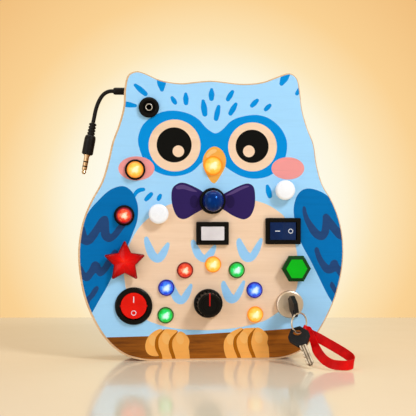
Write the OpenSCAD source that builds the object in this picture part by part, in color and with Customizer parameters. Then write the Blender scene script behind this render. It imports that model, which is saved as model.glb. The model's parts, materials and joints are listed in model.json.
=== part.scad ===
// Wooden busy board in the shape of an owl: a flat case with switches, lamps, a jack lead and a key lock.
// The board stands on its flat lower edge. +Z is up, +X is to the right and the printed face looks along -Y.
// The origin is the middle of the resting edge, halfway through the depth of the case.

/* [Case] */
// Width of the board at the wings
board_w = 185; // [160:1:222]
// Height from the resting edge to the ear tips
board_h = 200; // [167:1:240]
// Depth of the closed case
board_t = 30; // [29:0.5:38]
// Thickness of the front panel
front_t = 4; // [3:0.5:5]
// Thickness of the back panel
back_t = 4; // [3:0.5:5]
// Width of the frame's wall
frame_wall = 6; // [4:0.5:8]
// Diameter of the case screws' shanks
case_screw_d = 3; // [2.5:0.1:4]
// Diameter of the case screws' heads
case_head_d = 6; // [5:0.1:7.5]
// Length of a case screw
case_screw_len = 15; // [12:0.5:20]
// Diameter of the frame's screw bosses
boss_d = 9; // [7:0.5:11]

/* [Batteries] */
// Diameter of one cell
cell_d = 10.5; // [10:0.1:14.5]
// Length of one cell
cell_len = 44.5; // [40:0.5:51]
// Number of cells side by side
cell_count = 3; // [2:1:3]
// Wall of the battery tray
tray_wall = 2; // [1.6:0.1:3]
// Thickness of the battery cover
cover_t = 1.6; // [1.2:0.1:2.5]

/* [Circuit board] */
// Width of the circuit board
pcb_w = 58; // [44:1:64]
// Height of the circuit board
pcb_h = 46; // [36:1:52]
// Thickness of the circuit board
pcb_t = 1.2; // [1:0.1:1.6]
// Height of the spacers under it
spacer_h = 3; // [2:0.5:4]

/* [Lamps] */
// Diameter of a belly lamp's lens
lens_d = 11.3; // [9:0.1:13]
// Diameter of the nose lamp's rim
nose_d = 13.4; // [11:0.1:15]
// Diameter of the cheek and wing lamps' bezels
lamp_bezel_d = 14.2; // [13:0.1:17]
// Diameter of the domes in those bezels
lamp_dome_d = 11.4; // [9:0.1:12]
// Wall of every lens
lens_wall = 1; // [0.8:0.1:1.5]
// Diameter of a light emitter
led_d = 5; // [3:0.5:5]

/* [Buttons] */
// Travel of the round, star and hexagon buttons
press_travel = 2.5; // [1.5:0.1:3]
// Travel of the rectangular button
frame_travel = 2; // [1:0.1:2.5]
// Diameter of the threaded barrels
barrel_d = 11.8; // [10:0.1:13]
// Diameter of the buttons' stems
stem_d = 6; // [4:0.1:7]
// Diameter of a white round cap
cap_d = 13.7; // [13:0.1:17]
// Diameter of the ball cap
ball_d = 14.6; // [12:0.1:17]
// Diameter of the ball button's collar
ball_collar_d = 18.2; // [17:0.1:24]
// Radius of the star cap's tips
star_r = 14.2; // [12:0.1:17]
// Width of the hexagon cap across its corners
hex_w = 20.5; // [17:0.1:25]
// Width of the rectangular button's frame
rect_w = 22.6; // [20:0.1:27]
// Height of the rectangular button's frame
rect_h = 15.9; // [14:0.1:19]
// Width of the rectangular cap
rect_cap_w = 15.9; // [12:0.1:17]
// Height of the rectangular cap
rect_cap_h = 9.35; // [7:0.1:10]

/* [Rockers] */
// Diameter of the round rocker's bezel
round_bezel_d = 25.8; // [24:0.1:30]
// Diameter of the round rocker
round_cap_d = 17.8; // [14:0.1:18.4]
// Width of the square rocker's bezel
square_w = 24.8; // [23.5:0.1:30]
// Height of the square rocker's bezel
square_h = 18.3; // [17:0.1:22]
// Width of the square rocker
square_cap_w = 17.8; // [14:0.1:18.2]
// Height of the square rocker
square_cap_h = 12.1; // [9:0.1:12.8]
// Angle from level to either end stop
rock_angle = 9.4; // [6:0.1:12]

/* [Knob] */
// Diameter of the knob's skirt
knob_d = 20; // [17:0.1:24]
// Height of the knob above the panel
knob_h = 15; // [12:0.5:18]
// Diameter of the potentiometer's shaft
shaft_d = 6; // [5:0.1:6.4]

/* [Key lock] */
// Diameter of the lock's face
lock_d = 19; // [17:0.1:23]
// Height of the lock's face above the panel
lock_face_h = 4.5; // [3:0.1:6]
// Diameter of the turning plug
plug_d = 10.4; // [9:0.1:12]
// Thickness of a key's blade
blade_t = 1.8; // [1.4:0.1:2]
// Width of a key's blade
blade_w = 4.6; // [4:0.1:6]
// Length of a key's blade beyond the bow
blade_len = 17; // [15:0.5:18.5]
// Width of a key's bow
bow_w = 14.4; // [12:0.1:17]
// Length of the bow of the key in the lock
bow_len = 22; // [18:0.1:24]
// Thickness of the bow of the key in the lock
bow_t = 2.8; // [2.4:0.1:3]
// Length of the spare key's bow
spare_bow_len = 15.5; // [13:0.1:16]
// Thickness of the spare key's bow
spare_bow_t = 2.2; // [2:0.1:2.5]
// Turn of the lock in its resting position
key_rest = 8; // [0:1:15]
// Radius of the key ring's centreline
ring_r = 6.7; // [6:0.1:8]
// Diameter of the ring's wire
ring_wire = 1.2; // [0.8:0.1:1.4]

/* [Jack and lead] */
// Diameter of the jack socket's collar
jack_d = 14.1; // [12:0.1:17]
// Diameter of the socket's bore
jack_bore = 3.6; // [3.5:0.1:3.8]
// Diameter of the lead
lead_d = 2.8; // [2:0.1:3.4]
// Diameter of the sleeve at the board's edge
sleeve_d = 5.1; // [4:0.1:6]
// Diameter of the lead plug's body
plug_body_d = 7.9; // [6:0.1:9]
// Diameter of the lead plug's pin
pin_d = 3.5; // [3:0.1:3.5]

/* [Ribbon] */
// Width of the ribbon
ribbon_w = 6.4; // [5:0.1:7]
// Thickness of the ribbon
ribbon_t = 0.5; // [0.4:0.1:0.8]

/* [Hidden] */
$fn = 48;

// Clearances: pieces fixed in the panel, sliding caps, and turning pins
panel_fit = 0.1;
slide_fit = 0.2;
run_fit = 0.05;
// A cut runs this far past the faces that it opens
over = 1;

// Depths along the outward axis, counted from the front face
back_out = -board_t;
back_in = back_t - board_t;
front_in = -front_t;

// The outline is given for this width and height, and stretched to the board's own
nominal_w = 185;
nominal_h = 200;
function place(p) = [p[0] * board_w / nominal_w, p[1] * board_h / nominal_h];

// Points of the owl's outline, from the right end of the resting edge up over the ears to the left end
outline_knots = [
    [43, 0], [53, 1.5], [63, 6], [71.5, 14.5], [79.5, 27], [86.5, 42.5], [91, 60], [92.4, 77],
    [90.3, 94], [84.8, 109.5], [77.5, 122], [73.4, 136], [71.3, 150], [66.8, 161.5], [63.2, 174],
    [61.6, 187], [59.6, 196], [54.2, 199.8], [46, 197.5], [35, 193.4], [22, 192], [10, 193],
    [-1, 194], [-12, 193], [-23, 192], [-36, 194], [-46, 198.3], [-52.6, 200], [-58.6, 197], [-60.9, 187.8],
    [-61.5, 176], [-64.8, 163], [-69.2, 151], [-72.2, 138], [-76.6, 123.5], [-84, 110], [-89.8, 95],
    [-92.5, 77], [-91.5, 59], [-87.5, 41], [-80, 24.5], [-71.5, 12.5], [-61.5, 4.5], [-51, 1], [-43, 0]
];
// Short straight runs that make the curve leave the resting edge level
outline_lead_in = [33, 0];
outline_lead_out = [-33, 0];
outline_steps = 4;

function spline_point(a, b, c, d, t) =
    0.5 * (2 * b + (c - a) * t + (2 * a - 5 * b + 4 * c - d) * t * t + (3 * b - a - 3 * c + d) * t * t * t);
function spline(knots, steps) = concat(
    [for (i = [1 : len(knots) - 3]) for (k = [0 : steps - 1])
        spline_point(knots[i - 1], knots[i], knots[i + 1], knots[i + 2], k / steps)],
    [knots[len(knots) - 2]]
);
outline_path = concat([outline_lead_in], outline_knots, [outline_lead_out]);
outline = [for (p = spline(outline_path, outline_steps)) place(p)];

// A point that lies a given distance inside the outline at one of its knots
function unit(v) = v / norm(v);
function left_of(v) = [-v[1], v[0]];
function inside(knot, depth) =
    let (i = knot * outline_steps)
    outline[i] + depth * left_of(unit(outline[i + 1] - outline[i - 1]));

// The six case screws stand in bosses that grow out of the frame's wall
screw_knots = [1, 7, 16, 25, 37, 43];
boss_overlap = 2;
screw_places = [for (k = screw_knots) inside(k, frame_wall + boss_d / 2 - boss_overlap)];

// Places of the controls on the front face
jack_at = place([-44, 175]);
cheek_at = place([-53.5, 132]);
nose_at = place([0.5, 135]);
ball_at = place([0, 110.5]);
wing_at = place([-61, 100.5]);
left_white_at = place([-37.5, 101.5]);
right_white_at = place([50.5, 118]);
rect_at = place([0, 88]);
square_at = place([49.5, 89.5]);
star_at = place([-60.7, 68.7]);
hex_at = place([58, 63.5]);
round_at = place([-54.5, 38]);
knob_at = place([-3, 39.5]);
lock_at = place([54, 38.5]);
red_at = place([-19, 62.5]);
amber_top_at = place([0.5, 66.5]);
green_right_at = place([17, 62.5]);
blue_left_at = place([-32, 50.5]);
blue_right_at = place([29.5, 48.5]);
green_left_at = place([-32.5, 31.5]);
amber_right_at = place([30, 31.5]);
belly_places = [
    red_at, amber_top_at, green_right_at, blue_left_at, blue_right_at, green_left_at, amber_right_at
];
button_places = [ball_at, left_white_at, right_white_at, star_at, hex_at];
bezel_places = [cheek_at, wing_at];
tray_at = place([0, 158]);
pcb_at = place([0, 97]);

// Small lens: a dome on a rim, with a barrel through the panel
rim_h = 1.2;
barrel_below = 8;
lens_barrel_r = 4.6;
nose_barrel_r = 5.4;
clip_h = 2;
clip_grip = 2;

// Lamp bezel
bezel_h = 2.6;
bezel_barrel_len = 12;
nut_h = 3;
nut_w = 17;

// Button bodies
body_depth = 16;
flange_h = 0.8;
flange_r = 6.4;
bore_floor = 13;
stem_reach = 9;
collar_h = 4.4;
ball_centre_h = 7;
white_cap_h = 6.6;

// Rectangular button
rect_frame_h = 2.6;
rect_block = [19, 12.6];
rect_cap_top = 4.3;
rect_cap_low = -3.5;

// Rockers: the pivot lies just above the panel and the flanks follow an arc around it
rocker_pivot_h = 0.8;
rocker_arc = 9.4;
rocker_edge_h = 4;
rocker_valley_h = 2.5;
rocker_low = -3.5;
rocker_room = 0.15;
rocker_pin_r = 0.9;
rocker_pin_reach = 0.9;
bezel_top = 2.2;
round_barrel_d = 21.8;
square_block = [21, 15];
housing_depth = 14;
terminal = [4.8, 0.8, 6];

// Potentiometer
pot_body_d = 16;
pot_body_h = 9;
bushing_d = 7;
bushing_top = 4.4;
thin_nut_h = 2;
thin_nut_w = 11;
nut_gap = 0.5;

// Lock
lock_barrel_d = 15.8;
lock_depth = 18;
lock_floor = 1.5;
slot_gap = 0.15;
lock_nut_w = 21;
bow_gap = 2;
hole_drop = 4.2;
hole_inset = 4;
bow_hole_r = 2.8;
spare_hole_r = 3;
tang_t = 1;
tang_len = 6;

// Jack
jack_h = 3;
jack_barrel_d = 7.8;
jack_depth = 15;

// A local frame on the front face: its Z points out of the board and its Y points up
module on_face(p) {
    translate([p[0], -board_t / 2, p[1]]) rotate([90, 0, 0]) children();
}

module board_shape() {
    polygon(outline);
}

module hex_prism(across_flats, h) {
    cylinder(r = across_flats / sqrt(3), h = h, $fn = 6);
}

module rounded_plate(w, h, r, t) {
    linear_extrude(t) {
        square([w - 2 * r, h], center = true);
        square([w, h - 2 * r], center = true);
        for (x = [-1, 1]) {
            for (y = [-1, 1]) {
                translate([x * (w / 2 - r), y * (h / 2 - r)]) circle(r);
            }
        }
    }
}

// ---- Case ----

module round_cut(p, d) {
    translate([p[0], p[1], front_in - over]) cylinder(d = d + 2 * panel_fit, h = front_t + 2 * over);
}

module block_cut(p, size) {
    w = size[0] + 2 * panel_fit;
    h = size[1] + 2 * panel_fit;
    translate([p[0] - w / 2, p[1] - h / 2, front_in - over]) cube([w, h, front_t + 2 * over]);
}

module front_panel() {
    color("burlywood") on_face([0, 0]) difference() {
        translate([0, 0, front_in]) linear_extrude(front_t) board_shape();
        for (p = belly_places) round_cut(p, 2 * lens_barrel_r);
        round_cut(nose_at, 2 * nose_barrel_r);
        for (p = concat(bezel_places, button_places)) round_cut(p, barrel_d);
        round_cut(jack_at, jack_barrel_d);
        round_cut(round_at, round_barrel_d);
        round_cut(knob_at, bushing_d);
        round_cut(lock_at, lock_barrel_d);
        block_cut(rect_at, rect_block);
        block_cut(square_at, square_block);
    }
}

// The lead leaves through the frame's left wall beside the ear
exit_knot = 29;
exit_point = outline[exit_knot * outline_steps];
lead_depth = -board_t / 2;

module frame_ring() {
    color("tan") on_face([0, 0]) difference() {
        translate([0, 0, back_in]) linear_extrude(-back_in - front_t) difference() {
            board_shape();
            difference() {
                offset(r = -frame_wall) board_shape();
                for (p = screw_places) translate(p) circle(d = boss_d);
            }
        }
        translate([jack_at[0], jack_at[1], front_in - thin_nut_h - nut_gap]) {
            cylinder(d = thin_nut_w / cos(30) + 2 * nut_gap, h = thin_nut_h + nut_gap + over);
        }
        for (p = screw_places) {
            translate([p[0], p[1], back_in - over]) {
                cylinder(d = case_screw_d + 2 * run_fit, h = case_screw_len - back_t + 2 * over);
            }
        }
        translate([exit_point[0] - frame_wall, exit_point[1], lead_depth]) rotate([0, 90, 0]) {
            cylinder(d = sleeve_d + 2 * run_fit, h = 6 * frame_wall, center = true);
        }
    }
}

contact_t = 0.4;
spring_len = 3.2;
cell_pitch = cell_d + 0.4;
tray_room = [cell_len + spring_len + 2 * contact_t, cell_count * cell_pitch];
screw_land = 8;
tray_depth = cover_t + cell_d + 0.5 + tray_wall;
tray_flange = 3;
tray_flange_t = 1.5;
cover_ledge = 1;

// Outer block of the tray, with the screw land on its right end
module tray_block(extra, low, high) {
    w = tray_room[0] + 2 * tray_wall;
    h = tray_room[1] + 2 * tray_wall;
    translate([-w / 2 - extra, -h / 2 - extra, low]) {
        cube([w + screw_land + 2 * extra, h + 2 * extra, high - low]);
    }
}

module back_panel() {
    color("burlywood") on_face([0, 0]) difference() {
        translate([0, 0, back_out]) linear_extrude(back_t) board_shape();
        translate([tray_at[0], tray_at[1], 0]) tray_block(panel_fit, back_out - over, back_in + over);
        for (p = screw_places) {
            translate([p[0], p[1], back_out - over]) {
                cylinder(d = case_screw_d + 2 * panel_fit, h = back_t + 2 * over);
            }
            translate([p[0], p[1], back_out]) countersink(case_head_d + 2 * panel_fit, case_screw_d);
        }
        for (p = pcb_screw_places) {
            translate([p[0], p[1], back_in - pcb_bite]) {
                cylinder(d = pcb_screw_d + 2 * run_fit, h = pcb_bite + over);
            }
        }
    }
}

// Cone of a countersunk head, its wide end at z = 0
module countersink(head_d, shank_d) {
    cylinder(d1 = head_d, d2 = shank_d, h = (head_d - shank_d) / 2);
}

// Countersunk screw, its head flush at z = 0 and its shank along +Z
module flat_screw(shank_d, head_d, length) {
    recess_t = 0.8;
    difference() {
        union() {
            countersink(head_d, shank_d);
            cylinder(d = shank_d, h = length);
        }
        for (a = [0, 90]) {
            rotate([0, 0, a]) translate([-head_d / 4, -recess_t / 2, -over]) {
                cube([head_d / 2, recess_t, over + recess_t]);
            }
        }
    }
}

module case_screws() {
    color("silver") on_face([0, 0]) for (p = screw_places) {
        translate([p[0], p[1], back_out]) flat_screw(case_screw_d, case_head_d, case_screw_len);
    }
}

function cell_row(i) = (i - (cell_count - 1) / 2) * cell_pitch;
cell_h = back_out + cover_t + 0.4 + cell_d / 2;
cover_screw_d = 2.5;
cover_head_d = 5;
cover_screw_len = 7.5;
cover_grip = 4;
cover_screw_at = tray_room[0] / 2 + tray_wall + screw_land / 2;

module battery_tray() {
    color("dimgray") on_face(tray_at) difference() {
        union() {
            tray_block(0, back_out, back_out + tray_depth);
            tray_block(tray_flange, back_in, back_in + tray_flange_t);
        }
        translate([-tray_room[0] / 2, -tray_room[1] / 2, back_out - over]) {
            cube([tray_room[0], tray_room[1], over + cover_t + cell_d / 2]);
        }
        for (i = [0 : cell_count - 1]) {
            translate([-tray_room[0] / 2, cell_row(i), cell_h]) rotate([0, 90, 0]) {
                cylinder(d = cell_d + 2 * panel_fit, h = tray_room[0]);
            }
        }
        translate([0, 0, back_out - over]) cover_shape(panel_fit, cover_t + over);
        translate([cover_screw_at, 0, back_out]) {
            cylinder(d = cover_screw_d + 2 * run_fit, h = cover_screw_len + 0.5);
        }
    }
}

module cover_shape(extra, t) {
    w = tray_room[0] + 2 * cover_ledge + screw_land;
    h = tray_room[1] + 2 * cover_ledge;
    translate([-tray_room[0] / 2 - cover_ledge - extra, -h / 2 - extra, 0]) {
        cube([w + 2 * extra, h + 2 * extra, t]);
    }
}

// Five finger grooves cross the cover beside its free end
module battery_cover() {
    groove = [1.2, 12, 0.5];
    groove_pitch = 2 * groove[0];
    color("dimgray") on_face(tray_at) difference() {
        translate([0, 0, back_out]) cover_shape(0, cover_t);
        translate([cover_screw_at, 0, back_out]) {
            translate([0, 0, -over]) cylinder(d = cover_screw_d + 2 * panel_fit, h = 2 * over + cover_t);
            countersink(cover_head_d + 2 * panel_fit, cover_screw_d);
        }
        for (i = [0 : 4]) {
            translate([-tray_room[0] / 2 + cover_grip + i * groove_pitch, -groove[1] / 2, back_out - over]) {
                cube([groove[0], groove[1], over + groove[2]]);
            }
        }
    }
}

module cover_screw() {
    color("silver") on_face(tray_at) translate([cover_screw_at, 0, back_out]) {
        flat_screw(cover_screw_d, cover_head_d, cover_screw_len);
    }
}

cell_start = -tray_room[0] / 2 + contact_t + spring_len;

module batteries() {
    nub = [3.8, 1];
    color("seagreen") on_face(tray_at) for (i = [0 : cell_count - 1]) {
        translate([0, cell_row(i), cell_h]) rotate([0, i % 2 == 0 ? 90 : -90, 0]) {
            translate([0, 0, cell_start]) cylinder(d = cell_d, h = cell_len - nub[1]);
            translate([0, 0, cell_start + cell_len - nub[1]]) cylinder(d = nub[0], h = nub[1]);
        }
    }
}

module contact_spring() {
    turns = 4;
    wire_r = 0.45;
    sunk = 0.1;
    for (k = [0 : turns - 1]) {
        rise = spring_len - 2 * wire_r + sunk;
        translate([0, 0, wire_r - sunk + k * rise / (turns - 1)]) {
            rotate_extrude() translate([3.4 - 0.3 * k, 0]) circle(wire_r, $fn = 16);
        }
    }
}

module battery_contacts() {
    plate_w = 0.68 * cell_d;
    end_gap = tray_room[0] / 2 - contact_t;
    color("gainsboro") on_face(tray_at) for (i = [0 : cell_count - 1]) {
        translate([0, cell_row(i), cell_h]) rotate([0, i % 2 == 0 ? 90 : -90, 0]) {
            translate([-plate_w / 2, -plate_w / 2, -tray_room[0] / 2]) cube([plate_w, plate_w, contact_t]);
            translate([0, 0, -tray_room[0] / 2 + contact_t]) contact_spring();
            translate([-plate_w / 2, -plate_w / 2, end_gap]) cube([plate_w, plate_w, contact_t]);
        }
    }
}

pcb_low = back_in + spacer_h;
pcb_screw_d = 2.5;
pcb_bite = 3;
pcb_inset = 4;
pcb_screw_places = [for (x = [-1, 1]) for (y = [-1, 1])
    pcb_at + [x * (pcb_w / 2 - pcb_inset), y * (pcb_h / 2 - pcb_inset)]];

module circuit_board() {
    chip_h = 1.6;
    color("darkgreen") on_face(pcb_at) difference() {
        union() {
            translate([-pcb_w / 2, -pcb_h / 2, pcb_low]) cube([pcb_w, pcb_h, pcb_t]);
            translate([-9, -4, pcb_low + pcb_t]) cube([10, 8, chip_h]);
            for (x = [-16, 8, 13, 18]) translate([x, -9, pcb_low + pcb_t]) cube([2, 4, 1]);
            for (y = [-10, 2]) translate([-pcb_w / 2 + 1, y, pcb_low + pcb_t]) cube([4, 9, chip_h]);
            for (y = [-10, 2]) translate([pcb_w / 2 - 5, y, pcb_low + pcb_t]) cube([4, 9, chip_h]);
        }
        for (x = [-1, 1]) {
            for (y = [-1, 1]) {
                translate([x * (pcb_w / 2 - pcb_inset), y * (pcb_h / 2 - pcb_inset), pcb_low - over]) {
                    cylinder(d = pcb_screw_d + 2 * run_fit, h = pcb_t + 2 * over);
                }
            }
        }
    }
}

// Each screw carries its own spacer sleeve between the circuit board and the back panel
module board_screws() {
    head_d = 4.8;
    head_h = 1.4;
    length = pcb_bite + spacer_h + pcb_t + head_h;
    color("silver") on_face([0, 0]) for (p = pcb_screw_places) {
        translate([p[0], p[1], back_in - pcb_bite]) cylinder(d = pcb_screw_d, h = length);
        translate([p[0], p[1], back_in]) cylinder(d = head_d, h = spacer_h);
        translate([p[0], p[1], pcb_low + pcb_t]) cylinder(d = head_d, h = head_h);
    }
}

// ---- Wiring: a trunk up each side of the circuit board, branches to the sides and risers to each piece ----

trunk_r = 1.3;
branch_r = 0.6;
riser_r = 0.8;
trunk_x = max(pcb_w / 2, tray_room[0] / 2 + tray_wall + tray_flange) + trunk_r + 0.7;
led_tail = -barrel_below - 3;
button_tail = -body_depth - 4;

module riser(p, low, tail) {
    translate([p[0], p[1], low]) cylinder(r = riser_r, h = tail - low);
}

module branch(side, p, tail) {
    x = side * trunk_x;
    translate([min(x, p[0]), p[1], back_in + riser_r]) rotate([0, 90, 0]) {
        cylinder(r = branch_r, h = abs(x - p[0]));
    }
    riser(p, back_in, tail);
}

module trunk(side, low, high) {
    translate([side * trunk_x, low - 2, back_in + trunk_r]) rotate([-90, 0, 0]) {
        cylinder(r = trunk_r, h = high - low + 4);
    }
}

module wire_loom() {
    color("firebrick") on_face([0, 0]) {
        trunk(-1, green_left_at[1], jack_at[1]);
        trunk(1, amber_right_at[1], right_white_at[1]);
        for (p = [red_at, amber_top_at, blue_left_at, green_left_at]) branch(-1, p, led_tail);
        for (p = [green_right_at, blue_right_at, amber_right_at]) branch(1, p, led_tail);
        branch(-1, nose_at - [0, 3], led_tail);
        for (p = [wing_at, cheek_at]) branch(-1, p, -bezel_barrel_len - 2);
        for (p = [right_white_at, hex_at]) branch(1, p, button_tail);
        branch(-1, star_at, button_tail);
        riser([left_white_at[0], wing_at[1]], back_in, button_tail);
        branch(-1, round_at + [0, 6], -housing_depth - terminal[2]);
        branch(1, square_at + [6, 0], -housing_depth - terminal[2]);
        branch(-1, knob_at, front_in - pot_body_h);
        branch(1, lock_at, -lock_depth);
        branch(-1, jack_at, -jack_depth - 2);
        for (p = [rect_at, ball_at]) riser(p, pcb_low + pcb_t, button_tail);
    }
}

// ---- Lamps ----

// Lens cap: dome, rim and barrel turned as one shell, open at the back
module lens_shell(rim_r, dome_r, barrel_r, dome_h) {
    bend = (dome_r * dome_r + dome_h * dome_h) / (2 * dome_h);
    inner_r = barrel_r - lens_wall;
    difference() {
        union() {
            cylinder(r = rim_r - 0.4, h = rim_h);
            cylinder(r = rim_r, h = rim_h - 0.4);
            translate([0, 0, -barrel_below]) cylinder(r = barrel_r, h = barrel_below);
            intersection() {
                translate([0, 0, rim_h + dome_h - bend]) sphere(bend);
                cylinder(r = dome_r, h = rim_h + dome_h + over);
            }
        }
        translate([0, 0, -barrel_below - over]) cylinder(r = inner_r, h = barrel_below + over);
        intersection() {
            translate([0, 0, rim_h + dome_h - bend]) sphere(bend - lens_wall);
            translate([0, 0, -over]) cylinder(r = inner_r, h = rim_h + dome_h + over);
        }
    }
}

module belly_lens(p, tint) {
    rim_r = lens_d / 2;
    color(tint) on_face(p) lens_shell(rim_r, rim_r - 0.6, lens_barrel_r, 3.8);
}

module nose_lens() {
    color("orange") on_face(nose_at) lens_shell(nose_d / 2, nose_d / 2 - 1.2, nose_barrel_r, 4.6);
}

dome_barrel_r = 4.6;
module bezel_lens(p, tint) {
    dome_r = lamp_dome_d / 2;
    color(tint) on_face(p) translate([0, 0, bezel_h - 1]) {
        lens_shell(dome_r, dome_r - 0.1, dome_barrel_r, 4.4);
    }
}

// Threaded black bezel that the cheek and wing domes sit in
module lamp_bezels() {
    r = lamp_bezel_d / 2;
    seat_r = lamp_dome_d / 2 + panel_fit;
    color("black") for (p = [cheek_at, wing_at]) on_face(p) difference() {
        union() {
            rotate_extrude() polygon([[0, 0], [r, 0], [r, bezel_h - 1], [r - 0.9, bezel_h], [0, bezel_h]]);
            translate([0, 0, -bezel_barrel_len]) cylinder(d = barrel_d, h = bezel_barrel_len);
        }
        translate([0, 0, bezel_h - 1]) cylinder(r = seat_r, h = 2);
        translate([0, 0, -bezel_barrel_len - over]) {
            cylinder(r = dome_barrel_r + panel_fit, h = bezel_barrel_len + bezel_h + over);
        }
    }
}

// Push-on rings that hold the belly and nose lenses behind the panel
module lens_clips() {
    color("black") {
        for (p = belly_places) on_face(p) lens_clip(lens_barrel_r);
        on_face(nose_at) lens_clip(nose_barrel_r);
    }
}

module lens_clip(barrel_r) {
    translate([0, 0, front_in - clip_h]) difference() {
        cylinder(r = barrel_r + clip_grip, h = clip_h);
        translate([0, 0, -over]) cylinder(r = barrel_r + run_fit, h = clip_h + 2 * over);
    }
}

// Light emitter on a plug that closes the back of a lens
module emitter(plug_r, seat_h) {
    translate([0, 0, seat_h - 3]) cylinder(r = plug_r, h = 3);
    translate([0, 0, seat_h]) cylinder(d = led_d, h = 4);
    translate([0, 0, seat_h + 4]) sphere(led_d / 2);
}

module light_emitters() {
    inner = lens_barrel_r - lens_wall - run_fit;
    color("white") {
        for (p = belly_places) on_face(p) emitter(inner, -barrel_below);
        on_face(nose_at) emitter(nose_barrel_r - lens_wall - run_fit, -barrel_below);
        for (p = [cheek_at, wing_at]) on_face(p) emitter(dome_barrel_r, -bezel_barrel_len + 1);
    }
}

// ---- Push buttons ----

// Barrel with a blind bore for the stem, a flange on the panel and two terminals
module button_core() {
    difference() {
        union() {
            translate([0, 0, -body_depth]) cylinder(d = barrel_d, h = body_depth);
            for (x = [-1, 1]) {
                translate([x * 2.6 - 0.4, -1.4, -body_depth - 4]) cube([0.8, 2.8, 5]);
            }
            translate([-2.6, -0.4, -body_depth - 4]) cube([5.2, 0.8, 1]);
            cylinder(r = flange_r, h = flange_h);
        }
        translate([0, 0, -bore_floor]) cylinder(d = stem_d + 2 * run_fit, h = bore_floor + over + flange_h);
    }
}

module button_stem(top) {
    translate([0, 0, -stem_reach]) cylinder(d = stem_d, h = stem_reach + top);
}

module white_cap(p) {
    r = cap_d / 2;
    low = press_travel + 0.4;
    roof = flange_h + press_travel + 0.3;
    hollow_r = flange_r + slide_fit;
    color("white") on_face(p) {
        rotate_extrude() polygon([
            [0, roof], [hollow_r, roof], [hollow_r, low], [r, low],
            [r, white_cap_h - 1.4], [r - 0.5, white_cap_h - 0.5], [r - 1.5, white_cap_h],
            [0, white_cap_h + 0.5]
        ]);
        button_stem(roof);
    }
}

module white_bodies() {
    color("white") for (p = [left_white_at, right_white_at]) on_face(p) button_core();
}

module ball_body() {
    r = ball_collar_d / 2;
    hollow_r = ball_d / 2 + slide_fit;
    color("black") on_face(ball_at) {
        button_core();
        rotate_extrude() polygon([
            [flange_r - over, 0], [r, 0], [r, collar_h - 1.4], [r - 0.5, collar_h - 0.5], [r - 1.2, collar_h],
            [hollow_r, collar_h], [hollow_r, flange_h], [flange_r - over, flange_h]
        ]);
    }
}

module ball_cap() {
    low = flange_h + press_travel + 0.3;
    color("midnightblue") on_face(ball_at) {
        intersection() {
            translate([0, 0, ball_centre_h]) sphere(d = ball_d);
            translate([0, 0, low]) cylinder(d = ball_d + over, h = 2 * ball_d);
        }
        button_stem(low + 1);
    }
}

// A star's outline, counted from its centre: five rounded tips with a notch between each two
star_notch = 0.54;
star_tip_r = 0.9;
tip_steps = [-60, -20, 20, 60];
function around(angle, r) = r * [cos(angle), sin(angle)];
function star_tip(angle) =
    [for (s = tip_steps) around(angle, star_r - star_tip_r) + around(angle + s, star_tip_r)];
function star_dent(angle) = [around(angle, star_notch * star_r)];
star_points = [for (k = [0 : 4]) each concat(star_tip(90 + 72 * k), star_dent(126 + 72 * k))];
star_corner = len(tip_steps) + 1;

// Solid between a flat underside and an apex. Each level has a scale and the heights of its tips and notches
module star_pillow(levels, apex) {
    n = len(star_points);
    last = len(levels) - 1;
    rings = [for (l = levels) for (i = [0 : n - 1])
        let (notch = i % star_corner == star_corner - 1)
        [l[0] * star_points[i][0], l[0] * star_points[i][1], notch ? l[2] : l[1]]];
    points = concat(rings, [[0, 0, levels[0][1]], [0, 0, apex]]);
    low_centre = len(rings);
    faces = [for (i = [0 : n - 1])
        let (j = (i + 1) % n)
        each concat(
            [[low_centre, i, j], [last * n + j, last * n + i, low_centre + 1]],
            [for (l = [0 : last - 1]) each [
                [l * n + i, l * n + i + n, l * n + j + n],
                [l * n + i, l * n + j + n, l * n + j]
            ]]
        )];
    polyhedron(points, faces, convexity = 4);
}

// The cap's sides are steep, and ridges run from its middle to the tips
star_low = flange_h + press_travel + 0.2;
star_levels = [[0.97, 0, 0], [1, 0.5, 0.5], [1, 1.9, 1.7], [0.93, 3, 2.6], [0.8, 3.9, 3.2], [0.4, 4.6, 4.1]];
star_apex = 4.9;
module star_cap() {
    color("crimson") on_face(star_at) translate([0, 0, star_low]) {
        star_pillow(star_levels, star_apex);
        translate([0, 0, -star_low]) button_stem(star_low + 1);
    }
}

module star_body() {
    color("crimson") on_face(star_at) button_core();
}

hex_low = flange_h + press_travel + 0.2;
module hex_cap() {
    r = hex_w / 2;
    color("green") on_face(hex_at) {
        translate([0, 0, hex_low]) cylinder(r = r, h = 2.8, $fn = 6);
        translate([0, 0, hex_low + 2.8]) cylinder(r1 = r, r2 = 0.72 * r, h = 2, $fn = 6);
        button_stem(hex_low + 1);
    }
}

module hex_body() {
    color("darkgreen") on_face(hex_at) button_core();
}

module snap_wedges(block, depth) {
    for (s = [-1, 1]) {
        scale([s, 1, 1]) translate([block[0] / 2, -2.5, front_in - 0.1 - depth]) {
            rotate([-90, 0, 0]) linear_extrude(5) polygon([[-over, 0], [1, 0], [0, depth], [-over, depth]]);
        }
    }
}

module rect_body() {
    room = [rect_cap_w + 2 * slide_fit, rect_cap_h + 2 * slide_fit];
    pocket_low = rect_cap_low - frame_travel - 0.3;
    lip = 0.7;
    color("black") on_face(rect_at) difference() {
        union() {
            rounded_plate(rect_w, rect_h, 0.8, rect_frame_h);
            translate([-rect_block[0] / 2, -rect_block[1] / 2, -body_depth]) {
                cube([rect_block[0], rect_block[1], body_depth]);
            }
            for (x = [-1, 1]) translate([x * 3 - 0.4, -1.4, -body_depth - 4]) cube([0.8, 2.8, 5]);
            translate([0, 0, -3]) snap_wedges(rect_block, 3);
        }
        translate([-room[0] / 2, -room[1] / 2, pocket_low]) cube([room[0], room[1], body_depth]);
        translate([0, 0, rect_frame_h - lip]) bevel_opening(room[0], room[1], lip);
    }
}

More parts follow.
